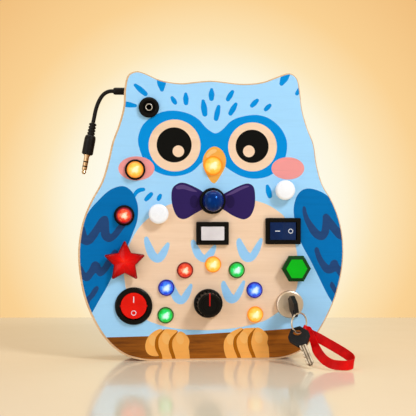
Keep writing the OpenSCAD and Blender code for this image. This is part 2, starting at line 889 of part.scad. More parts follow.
// Sloping sides at the left and right of a rectangular opening
module bevel_opening(w, h, depth) {
    top = depth + 0.1;
    for (s = [-1, 1]) {
        scale([s, 1, 1]) translate([w / 2, h / 2 + depth, 0]) rotate([90, 0, 0]) {
            linear_extrude(h + 2 * depth) polygon([[-over, 0], [0, 0], [top, top], [-over, top]]);
        }
    }
}

module rect_cap() {
    color("whitesmoke") on_face(rect_at) translate([0, 0, rect_cap_low]) {
        rounded_plate(rect_cap_w, rect_cap_h, 0.6, rect_cap_top - rect_cap_low);
    }
}

module button_nuts() {
    hole = barrel_d + 2 * run_fit;
    color("black") for (p = concat(bezel_places, button_places)) {
        on_face(p) translate([0, 0, front_in - nut_h]) difference() {
            hex_prism(nut_w, nut_h);
            translate([0, 0, -over]) cylinder(d = hole, h = nut_h + 2 * over);
        }
    }
}

// ---- Rockers ----

// Side view of a rocker, level: a shallow valley on top and flanks that follow an arc about the pivot
module rocker_profile(half) {
    intersection() {
        translate([0, rocker_pivot_h]) circle(rocker_arc, $fn = 96);
        polygon([
            [-half, rocker_low], [half, rocker_low], [half, rocker_edge_h],
            [0, rocker_valley_h], [-half, rocker_edge_h]
        ]);
    }
}

module round_rocker() {
    r = round_cap_d / 2;
    color("red") on_face(round_at) translate([0, 0, rocker_pivot_h]) rotate([-rock_angle, 0, 0]) {
        translate([0, 0, -rocker_pivot_h]) {
            intersection() {
                translate([0, 0, rocker_low]) cylinder(r = r, h = 2 * r);
                translate([-r, 0, 0]) rotate([90, 0, 90]) linear_extrude(2 * r) rocker_profile(r);
            }
        }
        rotate([0, 90, 0]) cylinder(r = rocker_pin_r, h = 2 * (r + rocker_pin_reach), center = true);
    }
}

module round_housing() {
    r = round_bezel_d / 2;
    pocket_r = rocker_arc + rocker_room;
    pin_reach = round_cap_d / 2 + rocker_pin_reach + slide_fit;
    color("black") on_face(round_at) difference() {
        union() {
            rotate_extrude() polygon([
                [0, 0], [r, 0], [r, bezel_top - 1], [r - 0.4, bezel_top - 0.3], [r - 1, bezel_top],
                [0, bezel_top]
            ]);
            translate([0, 0, -housing_depth]) cylinder(d = round_barrel_d, h = housing_depth);
        }
        translate([0, 0, rocker_low - 2.6]) cylinder(r = pocket_r, h = 2 * pocket_r);
        translate([0, 0, rocker_pivot_h]) rotate([0, 90, 0]) {
            cylinder(r = rocker_pin_r + run_fit, h = 2 * pin_reach, center = true);
        }
    }
}

module square_rocker() {
    color("navy") on_face(square_at) translate([0, 0, rocker_pivot_h]) rotate([0, -rock_angle, 0]) {
        translate([0, square_cap_h / 2, -rocker_pivot_h]) rotate([90, 0, 0]) {
            linear_extrude(square_cap_h) rocker_profile(square_cap_w / 2);
        }
        rotate([90, 0, 0]) cylinder(r = rocker_pin_r, h = square_cap_h + 2 * rocker_pin_reach, center = true);
    }
}

module square_housing() {
    pocket_w = 2 * (rocker_arc + rocker_room);
    pocket_h = square_cap_h + 2 * slide_fit;
    pin_reach = square_cap_h / 2 + rocker_pin_reach + slide_fit;
    pocket_low = rocker_low - 2.6;
    color("black") on_face(square_at) difference() {
        union() {
            rounded_plate(square_w, square_h, 1, bezel_top);
            translate([-square_block[0] / 2, -square_block[1] / 2, -housing_depth]) {
                cube([square_block[0], square_block[1], housing_depth]);
            }
            translate([0, 0, -3]) snap_wedges(square_block, 3);
        }
        translate([-pocket_w / 2, -pocket_h / 2, pocket_low]) cube([pocket_w, pocket_h, housing_depth]);
        translate([0, 0, rocker_pivot_h]) rotate([90, 0, 0]) {
            cylinder(r = rocker_pin_r + run_fit, h = 2 * pin_reach, center = true);
        }
    }
}

module switch_terminals() {
    low = -housing_depth - terminal[2];
    color("gold") {
        on_face(round_at) for (y = [-6, 6]) {
            translate([-terminal[0] / 2, y - terminal[1] / 2, low]) cube(terminal);
        }
        on_face(square_at) for (x = [-6, 6]) {
            translate([x - terminal[1] / 2, -terminal[0] / 2, low]) {
                cube([terminal[1], terminal[0], terminal[2]]);
            }
        }
    }
}

// ---- Knob and potentiometer ----

knob_low = 0.8;
knob_skirt_h = 3.2;
knob_top_d = 15;
flute_count = 18;
flute_r = 0.7;
knob_dish = 0.5;
pointer_w = 1.1;
pointer_cut = 0.5;
pointer_start = -0.6;

module knob() {
    r = knob_d / 2;
    top_r = knob_top_d / 2;
    color("black") on_face(knob_at) difference() {
        rotate_extrude() polygon([
            [0, knob_low], [r, knob_low], [r, knob_low + 1.4], [r - 0.5, knob_skirt_h],
            [top_r + 0.9, knob_skirt_h + 0.8], [top_r + 0.4, knob_h - 1], [top_r - 0.6, knob_h],
            [top_r - 2, knob_h], [top_r - 2.2, knob_h - knob_dish], [0, knob_h - knob_dish]
        ]);
        translate([0, 0, knob_low - over]) cylinder(d = thin_nut_w / cos(30) + 1, h = thin_nut_h + over);
        translate([0, 0, knob_low - over]) cylinder(d = bushing_d + 1, h = bushing_top + over);
        translate([0, 0, knob_low - over]) cylinder(d = shaft_d + 2 * run_fit, h = knob_h - 4);
        for (k = [0.5 : flute_count - 0.5]) {
            rotate([0, 0, 90 + 360 * k / flute_count]) translate([top_r + 0.9, 0, knob_skirt_h + 0.4]) {
                cylinder(r = flute_r, h = knob_h);
            }
        }
        pointer_block(slide_fit / 2);
    }
}

// The pointer's bar runs from the middle of the knob out through its rim
module pointer_block(extra) {
    w = pointer_w + 2 * extra;
    low = knob_h - knob_dish - pointer_cut - extra;
    translate([-w / 2, pointer_start - extra, low]) cube([w, knob_d, knob_h]);
}

module knob_pointer() {
    rim_r = knob_top_d / 2 + 0.4;
    color("red") on_face(knob_at) intersection() {
        pointer_block(0);
        rotate_extrude() polygon([
            [0, 0], [rim_r, 0], [rim_r, knob_h - 1], [rim_r - 0.9, knob_h - 0.1], [0, knob_h - 0.1]
        ]);
    }
}

module pot_shaft() {
    low = front_in - pot_body_h + 1.5;
    top = knob_low + knob_h - 5.2;
    color("silver") on_face(knob_at) translate([0, 0, low]) cylinder(d = shaft_d, h = top - low);
}

module pot_body() {
    tag = [2, 5, 0.6];
    color("silver") on_face(knob_at) difference() {
        union() {
            translate([0, 0, front_in - pot_body_h]) cylinder(d = pot_body_d, h = pot_body_h);
            translate([0, 0, front_in]) cylinder(d = bushing_d, h = bushing_top + front_t);
            for (x = [-4, 0, 4]) {
                translate([x - tag[0] / 2, -pot_body_d / 2 - tag[1] + 1.5, front_in - 4]) cube(tag);
            }
        }
        translate([0, 0, front_in - pot_body_h + 1.2]) {
            cylinder(d = shaft_d + 2 * run_fit, h = pot_body_h + 2 * bushing_top + front_t);
        }
    }
}

// ---- Key lock and keys ----

module lock_body() {
    r = lock_d / 2;
    index_r = 1;
    color("silver") on_face(lock_at) difference() {
        union() {
            rotate_extrude() polygon([
                [0, 0], [r, 0], [r, lock_face_h - 1.2], [r - 0.3, lock_face_h - 0.4], [r - 1, lock_face_h],
                [0, lock_face_h]
            ]);
            translate([0, 0, -lock_depth]) cylinder(d = lock_barrel_d, h = lock_depth);
        }
        translate([0, 0, -lock_depth + lock_floor]) {
            cylinder(d = plug_d + 2 * run_fit, h = lock_depth + 2 * lock_face_h);
        }
        translate([0, (plug_d / 2 + r) / 2, lock_face_h - 0.5]) cylinder(r = index_r, h = over);
    }
}

blade_low = lock_face_h + bow_gap - blade_len;
module lock_plug() {
    low = -lock_depth + lock_floor + 0.1;
    color("gray") on_face(lock_at) rotate([0, 0, key_rest]) difference() {
        translate([0, 0, low]) cylinder(d = plug_d, h = lock_face_h - 0.4 - low);
        translate([-blade_t / 2 - slot_gap, -blade_w / 2 - slot_gap, blade_low - 0.5]) {
            cube([blade_t + 2 * slot_gap, blade_w + 2 * slot_gap, 2 * blade_len]);
        }
    }
}

// A key along +Z: the blade's tip at z = 0, its flat sides facing X, the tang that the bow grips above it
module key_blade_shape() {
    tooth = 0.9;
    tip = 1.8;
    groove_w = 0.8;
    groove_t = 0.35;
    first_tooth = 3.6;
    tooth_pitch = 2.9;
    difference() {
        intersection() {
            translate([-blade_t / 2, -blade_w / 2, 0]) cube([blade_t, blade_w, blade_len]);
            rotate([0, 90, 0]) linear_extrude(2 * blade_t, center = true) polygon([
                [0, -0.8], [0, 0.8], [-tip, blade_w / 2], [-blade_len, blade_w / 2],
                [-blade_len, -blade_w / 2], [-tip, -blade_w / 2]
            ]);
        }
        for (k = [0 : 3]) {
            size = tooth * (k % 2 + 0.9);
            translate([0, blade_w / 2, first_tooth + tooth_pitch * k]) rotate([45, 0, 0]) {
                cube([2 * blade_t, size, size], center = true);
            }
        }
        for (s = [-1, 1]) {
            translate([s * blade_t / 2, -s * groove_w / 2, blade_len / 2 + 1]) {
                cube([2 * groove_t, groove_w, blade_len], center = true);
            }
        }
    }
    translate([-tang_t / 2, -blade_w / 2, blade_len]) cube([tang_t, blade_w, tang_len]);
}

// A bow's outline: eight edges with a narrow foot and a narrow top
function bow_points(l) = let (w = bow_w / 2, n = 3.1) [
    [-n, 0], [n, 0], [w, 0.4 * l], [w, 0.62 * l], [n, l], [-n, l], [-w, 0.62 * l], [-w, 0.4 * l]
];

// The bow starts at z = 0 and grips the blade's tang; the hole lies across it
module key_bow_shape(l, t, hole_side, hole_r) {
    difference() {
        rotate([0, -90, 0]) linear_extrude(t, center = true) polygon([for (p = bow_points(l)) [p[1], p[0]]]);
        translate([0, hole_side, l - hole_inset]) rotate([0, 90, 0]) {
            cylinder(r = hole_r, h = 2 * t, center = true);
        }
        translate([-tang_t / 2 - run_fit, -blade_w / 2 - run_fit, -over]) {
            cube([tang_t + 2 * run_fit, blade_w + 2 * run_fit, over + tang_len + run_fit]);
        }
    }
}

module in_lock() {
    on_face(lock_at) rotate([0, 0, key_rest]) children();
}

module key_blade() {
    color("silver") in_lock() translate([0, 0, blade_low]) key_blade_shape();
}

module key_bow() {
    color("black") in_lock() translate([0, 0, lock_face_h + bow_gap]) {
        key_bow_shape(bow_len, bow_t, -hole_drop, bow_hole_r);
    }
}

// The ring hangs by the bow's hole, leans to the right and faces a little to the left
ring_turn = 32;
ring_lean = 24;
ring_hang = 0.3;
hole_h = lock_face_h + bow_gap + bow_len - hole_inset;
hole_point = [
    lock_at[0] + hole_drop * sin(key_rest),
    -board_t / 2 - hole_h,
    lock_at[1] - hole_drop * cos(key_rest)
];
ring_side = [cos(ring_turn), sin(ring_turn), 0];
// Point on the ring's centreline, at an angle from its lowest point towards its right side
function on_ring(a) = ring_centre + ring_r * (sin(a) * ring_side + [0, 0, -cos(a)]);
ring_top = hole_point - [0, 0, ring_hang];
ring_centre = ring_top + ring_r * (sin(ring_lean) * ring_side + [0, 0, -cos(ring_lean)]);

module key_ring() {
    color("silver") translate(ring_centre) rotate([0, 0, ring_turn]) rotate([90, 0, 0]) {
        rotate_extrude() translate([ring_r, 0]) circle(d = ring_wire, $fn = 24);
    }
}

// The spare key hangs from the ring and leans forward, as far as its length needs above the surface stood on
spare_on_ring = -14;
spare_side = 16;
spare_drop = 0.1;
spare_tip_h = 2.67;
spare_reach = (spare_bow_len - hole_inset + spare_drop + blade_len) * cos(spare_side);
spare_forward = acos(min(1, (on_ring(spare_on_ring)[2] - spare_tip_h) / spare_reach));

module on_spare() {
    translate(on_ring(spare_on_ring)) rotate([-spare_forward, -spare_side, 0]) rotate([0, 0, 90]) {
        translate([0, 0, hole_inset - spare_bow_len - spare_drop]) children();
    }
}

module spare_blade() {
    color("silver") on_spare() translate([0, 0, -blade_len]) key_blade_shape();
}

module spare_bow() {
    color("black") on_spare() key_bow_shape(spare_bow_len, spare_bow_t, 0, spare_hole_r);
}

// ---- Ribbon: one closed loop through the ring, its width upright where it lies on the surface ----

// The band wraps round the ring's wire at this angle from the ring's lowest point
wrap_angle = 56;
wrap_out = unit(on_ring(wrap_angle) - ring_centre);
wrap_along = cos(wrap_angle) * ring_side + [0, 0, sin(wrap_angle)];
wrap_behind = [-sin(ring_turn), cos(ring_turn), 0];
// A point beside the wire: outwards from the ring's centre and behind the ring
function by_wire(out, behind) = on_ring(wrap_angle) + out * wrap_out + behind * wrap_behind;

// Each row is a point of the band's middle line, the direction of its width there, and the width's share
function leaning(slope) = [sin(slope), 0, cos(slope)];
ribbon_route = [
    [by_wire(-1.6, 0), wrap_along, 0.42],
    [by_wire(0.1, 1.5), wrap_along, 0.45],
    [by_wire(2.2, 1.2), wrap_along, 0.6],
    [[66, -34.2, 20], leaning(34), 0.85],
    [[70.4, -36.6, 17.4], leaning(30), 1],
    [[75.4, -41.5, 14.6], leaning(28), 1],
    [[80.8, -48.5, 11.6], leaning(28), 1],
    [[85, -56, 9], leaning(26), 1],
    [[87.6, -63, 6.8], leaning(16), 1],
    [[87.4, -68.5, 4.8], leaning(8), 1],
    [[84, -70.8, 3.9], leaning(4), 1],
    [[79, -70.6, 3.8], leaning(0), 1],
    [[73.6, -68, 4.2], leaning(6), 1],
    [[70, -62.5, 5.8], leaning(24), 1],
    [[68, -55.5, 8.2], leaning(38), 1],
    [[66.8, -48, 11.2], leaning(50), 1],
    [[66.4, -41.4, 14.6], leaning(50), 0.85],
    [by_wire(3.8, -0.7), leaning(40), 0.7],
    [by_wire(0.1, -1.5), wrap_along, 0.45]
];

module ribbon() {
    n = len(ribbon_route);
    middle = [for (r = ribbon_route) r[0]];
    ahead = [for (i = [0 : n - 1]) unit(middle[(i + 1) % n] - middle[(i + n - 1) % n])];
    across = [for (r = ribbon_route) r[1]];
    flat = [for (i = [0 : n - 1]) unit(cross(ahead[i], across[i]))];
    points = [for (i = [0 : n - 1])
        let (w = ribbon_w / 2 * ribbon_route[i][2], t = ribbon_t / 2)
        each [
            middle[i] + w * across[i] + t * flat[i],
            middle[i] - w * across[i] + t * flat[i],
            middle[i] - w * across[i] - t * flat[i],
            middle[i] + w * across[i] - t * flat[i]
        ]];
    faces = [for (i = [0 : n - 1]) for (k = [0 : 3])
        let (here = 4 * i, next = 4 * ((i + 1) % n), j = (k + 1) % 4)
        each [[here + k, next + k, here + j], [here + j, next + k, next + j]]];
    color("red") polyhedron(points, faces, convexity = 6);
}

// ---- Jack socket and lead ----

module jack_socket() {
    r = jack_d / 2;
    color("black") on_face(jack_at) difference() {
        union() {
            rotate_extrude() polygon([
                [0, 0], [r, 0], [r, jack_h - 1.2], [r - 1.2, jack_h], [r - 2.6, jack_h],
                [r - 3.4, jack_h - 0.9], [jack_bore / 2 + 1.6, jack_h - 0.9],
                [jack_bore / 2 + 1, jack_h - 0.1], [0, jack_h - 0.1]
            ]);
            translate([0, 0, -jack_depth]) cylinder(d = jack_barrel_d, h = jack_depth);
            translate([-1, -2.5, -jack_depth - 2]) cube([2, 5, 2]);
        }
        translate([0, 0, -jack_depth + 1]) cylinder(d = jack_bore, h = jack_depth + 2 * jack_h);
    }
}

module ring_nut(flats, h, hole) {
    difference() {
        hex_prism(flats, h);
        translate([0, 0, -over]) cylinder(d = hole + 2 * run_fit, h = h + 2 * over);
    }
}

module metal_nuts() {
    color("silver") {
        on_face(jack_at) translate([0, 0, front_in - thin_nut_h]) {
            ring_nut(thin_nut_w, thin_nut_h, jack_barrel_d);
        }
        on_face(lock_at) translate([0, 0, front_in - nut_h]) ring_nut(lock_nut_w, nut_h, lock_barrel_d);
        on_face(knob_at) ring_nut(thin_nut_w, thin_nut_h, bushing_d);
    }
}

// Ribbed sleeve that holds the lead in the frame's wall
sleeve_out = 7.6;
sleeve_inside = 3.8;
sleeve_taper = 1.2;
lead_start = [exit_point[0], 0, exit_point[1]];
module lead_sleeve() {
    inward = frame_wall + sleeve_inside;
    collar = 2 * sleeve_taper;
    color("black") translate(lead_start) rotate([0, -90, 0]) {
        translate([0, 0, -inward]) cylinder(d = sleeve_d, h = inward + sleeve_out - sleeve_taper);
        translate([0, 0, sleeve_out - sleeve_taper]) {
            cylinder(d1 = sleeve_d, d2 = sleeve_d - 0.8, h = sleeve_taper);
        }
        translate([0, 0, -inward]) cylinder(d = sleeve_d + collar, h = collar);
    }
}

// The lead's middle line: round numbers from the sleeve's end down to the plug
lead_route = [
    [-68.8, 0, 187.8], [-71, 0, 187.7], [-73.3, 0, 186.9], [-75.5, 0, 185.3], [-77.3, 0, 183],
    [-78.8, 0, 180.2], [-80, 0, 177.2], [-81, 0, 173.8], [-81.8, 0, 169.8], [-82.7, 0, 165.4]
];
lead_sides = 8;

module lead_cord() {
    n = len(lead_route);
    r = lead_d / 2;
    function ahead(i) = unit(lead_route[min(i + 1, n - 1)] - lead_route[max(i - 1, 0)]);
    points = [for (i = [0 : n - 1]) for (k = [0 : lead_sides - 1])
        let (t = ahead(i), u = [0, 1, 0], v = cross(t, u), a = 360 * k / lead_sides)
        lead_route[i] + r * (cos(a) * u + sin(a) * v)];
    faces = concat(
        [[for (k = [lead_sides - 1 : -1 : 0]) k]],
        [for (i = [0 : n - 2]) for (k = [0 : lead_sides - 1])
            let (a = i * lead_sides + k, b = i * lead_sides + (k + 1) % lead_sides)
            each [[a, b, b + lead_sides], [a, b + lead_sides, a + lead_sides]]],
        [[for (k = [0 : lead_sides - 1]) (n - 1) * lead_sides + k]]
    );
    color("black") polyhedron(points, faces, convexity = 4);
}

// The plug hangs at the lead's end, a little off the vertical and just clear of the lead's slanting end
plug_tilt = 10.5;
plug_gap = 0.25;
module on_plug() {
    translate(lead_route[len(lead_route) - 1]) rotate([0, 180 + plug_tilt, 0]) {
        translate([0, 0, plug_gap]) children();
    }
}

relief_len = 8.6;
relief_ribs = 4;
rib_t = 1.1;
plug_body_len = 14;
pin_len = 13.8;
module plug_body() {
    top_r = plug_body_d / 2;
    rib_d = lead_d + 2.4;
    rib_pitch = (relief_len - 0.2) / relief_ribs;
    color("black") on_plug() {
        cylinder(d1 = rib_d - 1.2, d2 = rib_d - 0.6, h = relief_len);
        for (k = [0 : relief_ribs - 1]) {
            translate([0, 0, 0.5 + rib_pitch * k]) cylinder(d = rib_d + 0.1 * k, h = rib_t);
        }
        translate([0, 0, relief_len]) rotate_extrude() polygon([
            [0, 0], [top_r - 1.2, 0], [top_r - 0.3, 1], [top_r, 3], [top_r, plug_body_len - 0.8],
            [top_r - 0.8, plug_body_len], [0, plug_body_len]
        ]);
    }
}

// Tip, ring and sleeve of the pin are one turned piece, with a shoulder against the plug's body
module plug_pin() {
    r = pin_d / 2;
    neck_r = 0.68 * r;
    shoulder = 0.8;
    color("goldenrod") on_plug() translate([0, 0, relief_len + plug_body_len]) rotate_extrude() polygon([
        [0, 0], [r + 0.6, 0], [r + 0.6, shoulder], [r, shoulder], [r, pin_len - 3.2], [neck_r, pin_len - 2.6],
        [r - 0.1, pin_len - 1.4], [0.45 * r, pin_len], [0, pin_len]
    ]);
}

front_panel();
frame_ring();
back_panel();
case_screws();
battery_tray();
battery_cover();
cover_screw();
batteries();
battery_contacts();
circuit_board();
board_screws();
wire_loom();
belly_lens(red_at, "red");  // belly_lens_red
belly_lens(amber_top_at, "orange");  // belly_lens_amber_top
belly_lens(green_right_at, "limegreen");  // belly_lens_green_right
belly_lens(blue_left_at, "blue");  // belly_lens_blue_left
belly_lens(blue_right_at, "blue");  // belly_lens_blue_right
belly_lens(green_left_at, "limegreen");  // belly_lens_green_left
belly_lens(amber_right_at, "orange");  // belly_lens_amber_right
nose_lens();
bezel_lens(cheek_at, "orange");  // cheek_lens
bezel_lens(wing_at, "red");  // wing_lens
lamp_bezels();
lens_clips();
light_emitters();
ball_cap();
ball_body();
white_cap(left_white_at);  // left_white_cap
white_cap(right_white_at);  // right_white_cap
white_bodies();
star_cap();
star_body();
hex_cap();
hex_body();
rect_cap();
rect_body();
button_nuts();
round_rocker();
round_housing();
square_rocker();
square_housing();
switch_terminals();
knob();
knob_pointer();
pot_shaft();
pot_body();
metal_nuts();
lock_body();
lock_plug();
key_blade();
key_bow();
key_ring();
spare_blade();
spare_bow();
ribbon();
jack_socket();
lead_sleeve();
lead_cord();
plug_body();
plug_pin();
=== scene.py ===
import json
import math

import bpy
import numpy as np
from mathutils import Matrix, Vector
from mathutils.geometry import delaunay_2d_cdt


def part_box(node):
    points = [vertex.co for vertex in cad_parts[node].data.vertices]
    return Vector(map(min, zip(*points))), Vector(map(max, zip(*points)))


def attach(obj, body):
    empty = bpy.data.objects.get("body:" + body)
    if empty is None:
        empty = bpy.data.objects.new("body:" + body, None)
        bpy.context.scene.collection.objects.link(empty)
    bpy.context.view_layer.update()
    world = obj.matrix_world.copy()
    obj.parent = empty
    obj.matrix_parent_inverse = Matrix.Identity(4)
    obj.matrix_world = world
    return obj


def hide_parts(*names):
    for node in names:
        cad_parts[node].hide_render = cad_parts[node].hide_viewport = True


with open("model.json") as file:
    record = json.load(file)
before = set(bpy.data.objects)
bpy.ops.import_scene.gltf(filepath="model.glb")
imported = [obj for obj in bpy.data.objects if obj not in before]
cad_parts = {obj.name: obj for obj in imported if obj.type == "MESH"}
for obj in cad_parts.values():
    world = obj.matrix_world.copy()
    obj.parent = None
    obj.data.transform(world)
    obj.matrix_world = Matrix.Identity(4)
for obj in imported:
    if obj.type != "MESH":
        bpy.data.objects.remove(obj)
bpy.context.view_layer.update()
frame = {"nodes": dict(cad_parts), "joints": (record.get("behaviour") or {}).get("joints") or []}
nodes = frame["nodes"]

MM = 0.001
FINISHES = {}  # every material, by its name
scene = bpy.context.scene
scene.view_settings.view_transform = "Standard"


# ---- Camera, at the photograph's angle ----

CAMERA_AT = (-0.0640, -0.7123, 0.1056)
CAMERA_TURN = math.radians(-5)
LENS, SENSOR = 87.23, 36  # in millimetres

camera_data = bpy.data.cameras.new("camera")
camera_data.sensor_width = SENSOR
camera_data.lens = LENS
camera_data.clip_start = 0.01
camera = bpy.data.objects.new("camera", camera_data)
camera.location = CAMERA_AT
camera.rotation_euler = (math.radians(90), 0, CAMERA_TURN)
scene.collection.objects.link(camera)
scene.camera = camera


# ---- Places on the board, in millimetres, taken from the frame ----

joints = {joint["name"]: joint for joint in frame["joints"]}


def in_mm(place):
    """A place of the frame in millimetres, rounded to clear it of single precision's last digits."""
    return [round(c / MM, 3) for c in place]


FACE_Y = in_mm(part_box("front_panel")[0])[1]


def across_up(joint):
    """A hinge's place on the face: across it, and up it."""
    x, _, z = in_mm(joints[joint]["pos_m"])
    return x, z


ROUND_AT = across_up("round_rocker_tilt")
SQUARE_AT = across_up("square_rocker_tilt")
KNOB_AT = across_up("knob_turn")
LOCK_AT = across_up("key_turn")
PIVOT_H = FACE_Y - in_mm(joints["round_rocker_tilt"]["pos_m"])[1]
jack_low, jack_high = (in_mm(corner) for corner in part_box("jack_socket"))
JACK_AT = ((jack_low[0] + jack_high[0]) / 2, (jack_low[2] + jack_high[2]) / 2)
PLUG_FACE_H = FACE_Y - in_mm(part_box("lock_plug")[0])[1]


# ---- Shape helpers, in millimetres ----

def spline(points, steps, closed=False):
    """Points of a Catmull-Rom curve through the given ones."""
    n = len(points)
    rows = [np.array(p, float) for p in points]
    out = []
    for i in range(n if closed else n - 1):
        near = range(i - 1, i + 3)
        a, b, c, d = (rows[k % n] if closed else rows[min(max(k, 0), n - 1)] for k in near)
        for k in range(steps):
            t = k / steps
            square, cube = 2 * a - 5 * b + 4 * c - d, 3 * b - a - 3 * c + d
            out.append(0.5 * (2 * b + (c - a) * t + square * t**2 + cube * t**3))
    if not closed:
        out.append(rows[-1])
    return out


def unit(v):
    v = np.array(v, float)
    return v / np.linalg.norm(v)


def neighbours(line, i, closed=False):
    """The points before and after a line's point; past an open line's end, the end itself."""
    n = len(line)
    return (line[i - 1], line[(i + 1) % n]) if closed else (line[max(i - 1, 0)], line[min(i + 1, n - 1)])


def around(sides):
    """Angles of a full turn."""
    return [2 * math.pi * s / sides for s in range(sides)]


def piece(name, verts, faces, finishes, body, smooth=True, index=None, slot=None):
    """A mesh object from millimetre points, with the finishes of the given names, riding on a body."""
    mesh = bpy.data.meshes.new(name)
    mesh.from_pydata([Vector(v) * MM for v in verts], [], faces)
    for used in finishes:
        mesh.materials.append(FINISHES[used])
    if index is not None:
        mesh.polygons.foreach_set("material_index", index)
    mesh.polygons.foreach_set("use_smooth", [smooth] * len(faces))
    mesh.validate()
    mesh.update()
    obj = bpy.data.objects.new(name, mesh)
    scene.collection.objects.link(obj)
    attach(obj, body)
    return obj


def loft(rings, closed):
    """Verts and faces of a skin over equally long rings; the ends are capped unless the rings close up."""
    k, n = len(rings[0]), len(rings)
    verts = [p for ring in rings for p in ring]
    faces = []
    for i in range(n if closed else n - 1):
        j = (i + 1) % n
        faces += [(i * k + m, i * k + (m + 1) % k, j * k + (m + 1) % k, j * k + m) for m in range(k)]
    if not closed:
        faces += [tuple(reversed(range(k))), tuple(range((n - 1) * k, n * k))]
    return verts, faces


def lathe(profile, place, sides=48):
    """Verts and faces of a closed profile (radius, height) turned about an axis; place maps to the frame."""
    rings = [[place((r * math.cos(a), r * math.sin(a), h)) for r, h in profile] for a in around(sides)]
    return loft(rings, True)


def on_face(at):
    """Maps local points (x right, y up, z outwards) at a place on the front face to the frame."""
    return lambda p: (at[0] + p[0], FACE_Y - p[2], at[1] + p[1])


# ---- Finish helpers ----

def ink(red, green, blue):
    """Linear colour of a screen colour."""
    parts = (c / 3294.6 if c <= 10 else ((c / 255 + 0.055) / 1.055) ** 2.4 for c in (red, green, blue))
    return (*parts, 1.0)


class Tree:
    """A node tree and the calls that fill it; a value may be a socket or a constant."""

    def __init__(self, tree):
        self.tree = tree
        self.coords = self.node("TexCoord")

    def node(self, kind, **settings):
        made = self.tree.nodes.new("ShaderNode" + kind)
        for key, value in settings.items():
            if hasattr(made, key):
                setattr(made, key, value)
            else:
                made.inputs[key.replace("_", " ")].default_value = value
        return made

    def feed(self, value, socket):
        if isinstance(value, bpy.types.NodeSocket):
            self.tree.links.new(value, socket)
        else:
            socket.default_value = value

    def place(self, stretch=(1, 1, 1), space="Object", shift=(0, 0, 0)):
        made = self.node("Mapping", Scale=stretch, Location=shift)
        self.feed(self.coords.outputs[space], made.inputs["Vector"])
        return made.outputs[0]

    def noise(self, scale, stretch=(1, 1, 1), detail=4.0, distortion=0.0, roughness=0.55):
        made = self.node("TexNoise", Scale=scale, Detail=detail, Distortion=distortion, Roughness=roughness)
        self.feed(self.place(stretch), made.inputs["Vector"])
        return made.outputs[0]

    def math(self, operation, *values, **settings):
        made = self.node("Math", operation=operation, **settings)
        for value, socket in zip(values, made.inputs):
            self.feed(value, socket)
        return made.outputs[0]

    def vector(self, operation, *values):
        made = self.node("VectorMath", operation=operation)
        for value, socket in zip(values, made.inputs):
            self.feed(value, socket)
        return made.outputs["Value" if operation in ("LENGTH", "DISTANCE", "DOT_PRODUCT") else "Vector"]

    def axis(self, source, letter):
        """One coordinate of a vector."""
        made = self.node("SeparateXYZ")
        self.feed(source, made.inputs[0])
        return made.outputs[letter]

    def facing(self, normal="True Normal"):
        """The surface normal's Y: -1 looks straight out of the board's front."""
        return self.axis(self.node("NewGeometry").outputs[normal], "Y")

    def ramp(self, source, stops):
        """Colours over (position, screen colour) stops."""
        made = self.node("ValToRGB")
        points = made.color_ramp.elements
        while len(points) < len(stops):
            points.new(0.5)
        for point, (position, colour) in zip(points, stops):
            point.position = position
            point.color = ink(*colour)
        self.feed(source, made.inputs[0])
        return made.outputs[0]

    def tones(self, source, dark, light, low=0.3, high=0.7):
        """Tones from dark to light over the middle of a noise's range."""
        return self.ramp(source, [(low, dark), (high, light)])

    def span(self, source, low, high, from_low=0.3, from_high=0.7):
        """A range of the source mapped to low and high, and clamped there."""
        made = self.node("MapRange", From_Min=from_low, From_Max=from_high, To_Min=low, To_Max=high)
        self.feed(source, made.inputs["Value"])
        return made.outputs[0]

    def mix(self, factor, a, b, kind="MIX"):
        made = self.node("Mix", data_type="RGBA", blend_type=kind)
        for value, socket in ((factor, 0), (a, 6), (b, 7)):
            self.feed(value, made.inputs[socket])
        return made.outputs[2]


class Finish(Tree):
    """A Principled material; keywords set the shader's own sockets.

    A low sheen keeps the pale surroundings from hazing a dark or deep colour.
    """

    def __init__(self, name, sheen=0.5, **inputs):
        self.material = FINISHES[name] = bpy.data.materials.new(name)
        self.material.use_nodes = True
        super().__init__(self.material.node_tree)
        self.shader = self.tree.nodes["Principled BSDF"]
        for key, value in {"Specular_IOR_Level": sheen, **inputs}.items():
            self.shader.inputs[key.replace("_", " ")].default_value = value

    def paint(self, source, target="Base Color"):
        self.feed(source, self.shader.inputs[target])

    def bump(self, source, depth_mm, strength=1.0):
        made = self.node("Bump", Strength=strength, Distance=depth_mm * MM)
        self.feed(source, made.inputs["Height"])
        self.paint(made.outputs[0], "Normal")

    def moulded_skin(self, rough, grain=900, depth=0.02):
        """Patchy gloss and a fine grain."""
        self.paint(self.span(self.noise(140, detail=5), *rough), "Roughness")
        self.bump(self.noise(grain, detail=3), depth)

    def fibre(self, upright=1.0):
        """Wood fibre along X, drawn out along Z too where upright is low."""
        return self.noise(420, (0.06, 1, upright), detail=8, distortion=0.4, roughness=0.7)


def scaled(colour, share):
    return tuple(c * share for c in colour)


def moulded(name, dark, light, rough=(0.35, 0.5), grain=900, depth=0.02, **inputs):
    """Moulded plastic or rubber: faint flow marks, a fine grain and patchy gloss."""
    made = Finish(name, **inputs)
    made.paint(made.tones(made.noise(60, detail=6), dark, light))
    made.moulded_skin(rough, grain, depth)


def painted_side_shade_plastic(name, side, top, rough):
    """Moulded plastic with painted shade: deeper in tone on every face that doesn't look straight out of the
    board.
    """
    made = Finish(name, sheen=0.15)
    cloud = made.noise(60, detail=6)
    unshaded_front_mask = made.span(made.facing(), 1, 0, -0.97, -0.9)
    # Painted shade: the side faces take the darker colour, and the face looking out keeps the plain one
    deep = made.tones(cloud, scaled(side, 0.85), side)
    bright = made.tones(cloud, scaled(top, 0.94), top)
    made.paint(made.mix(unshaded_front_mask, deep, bright))
    made.moulded_skin(rough)


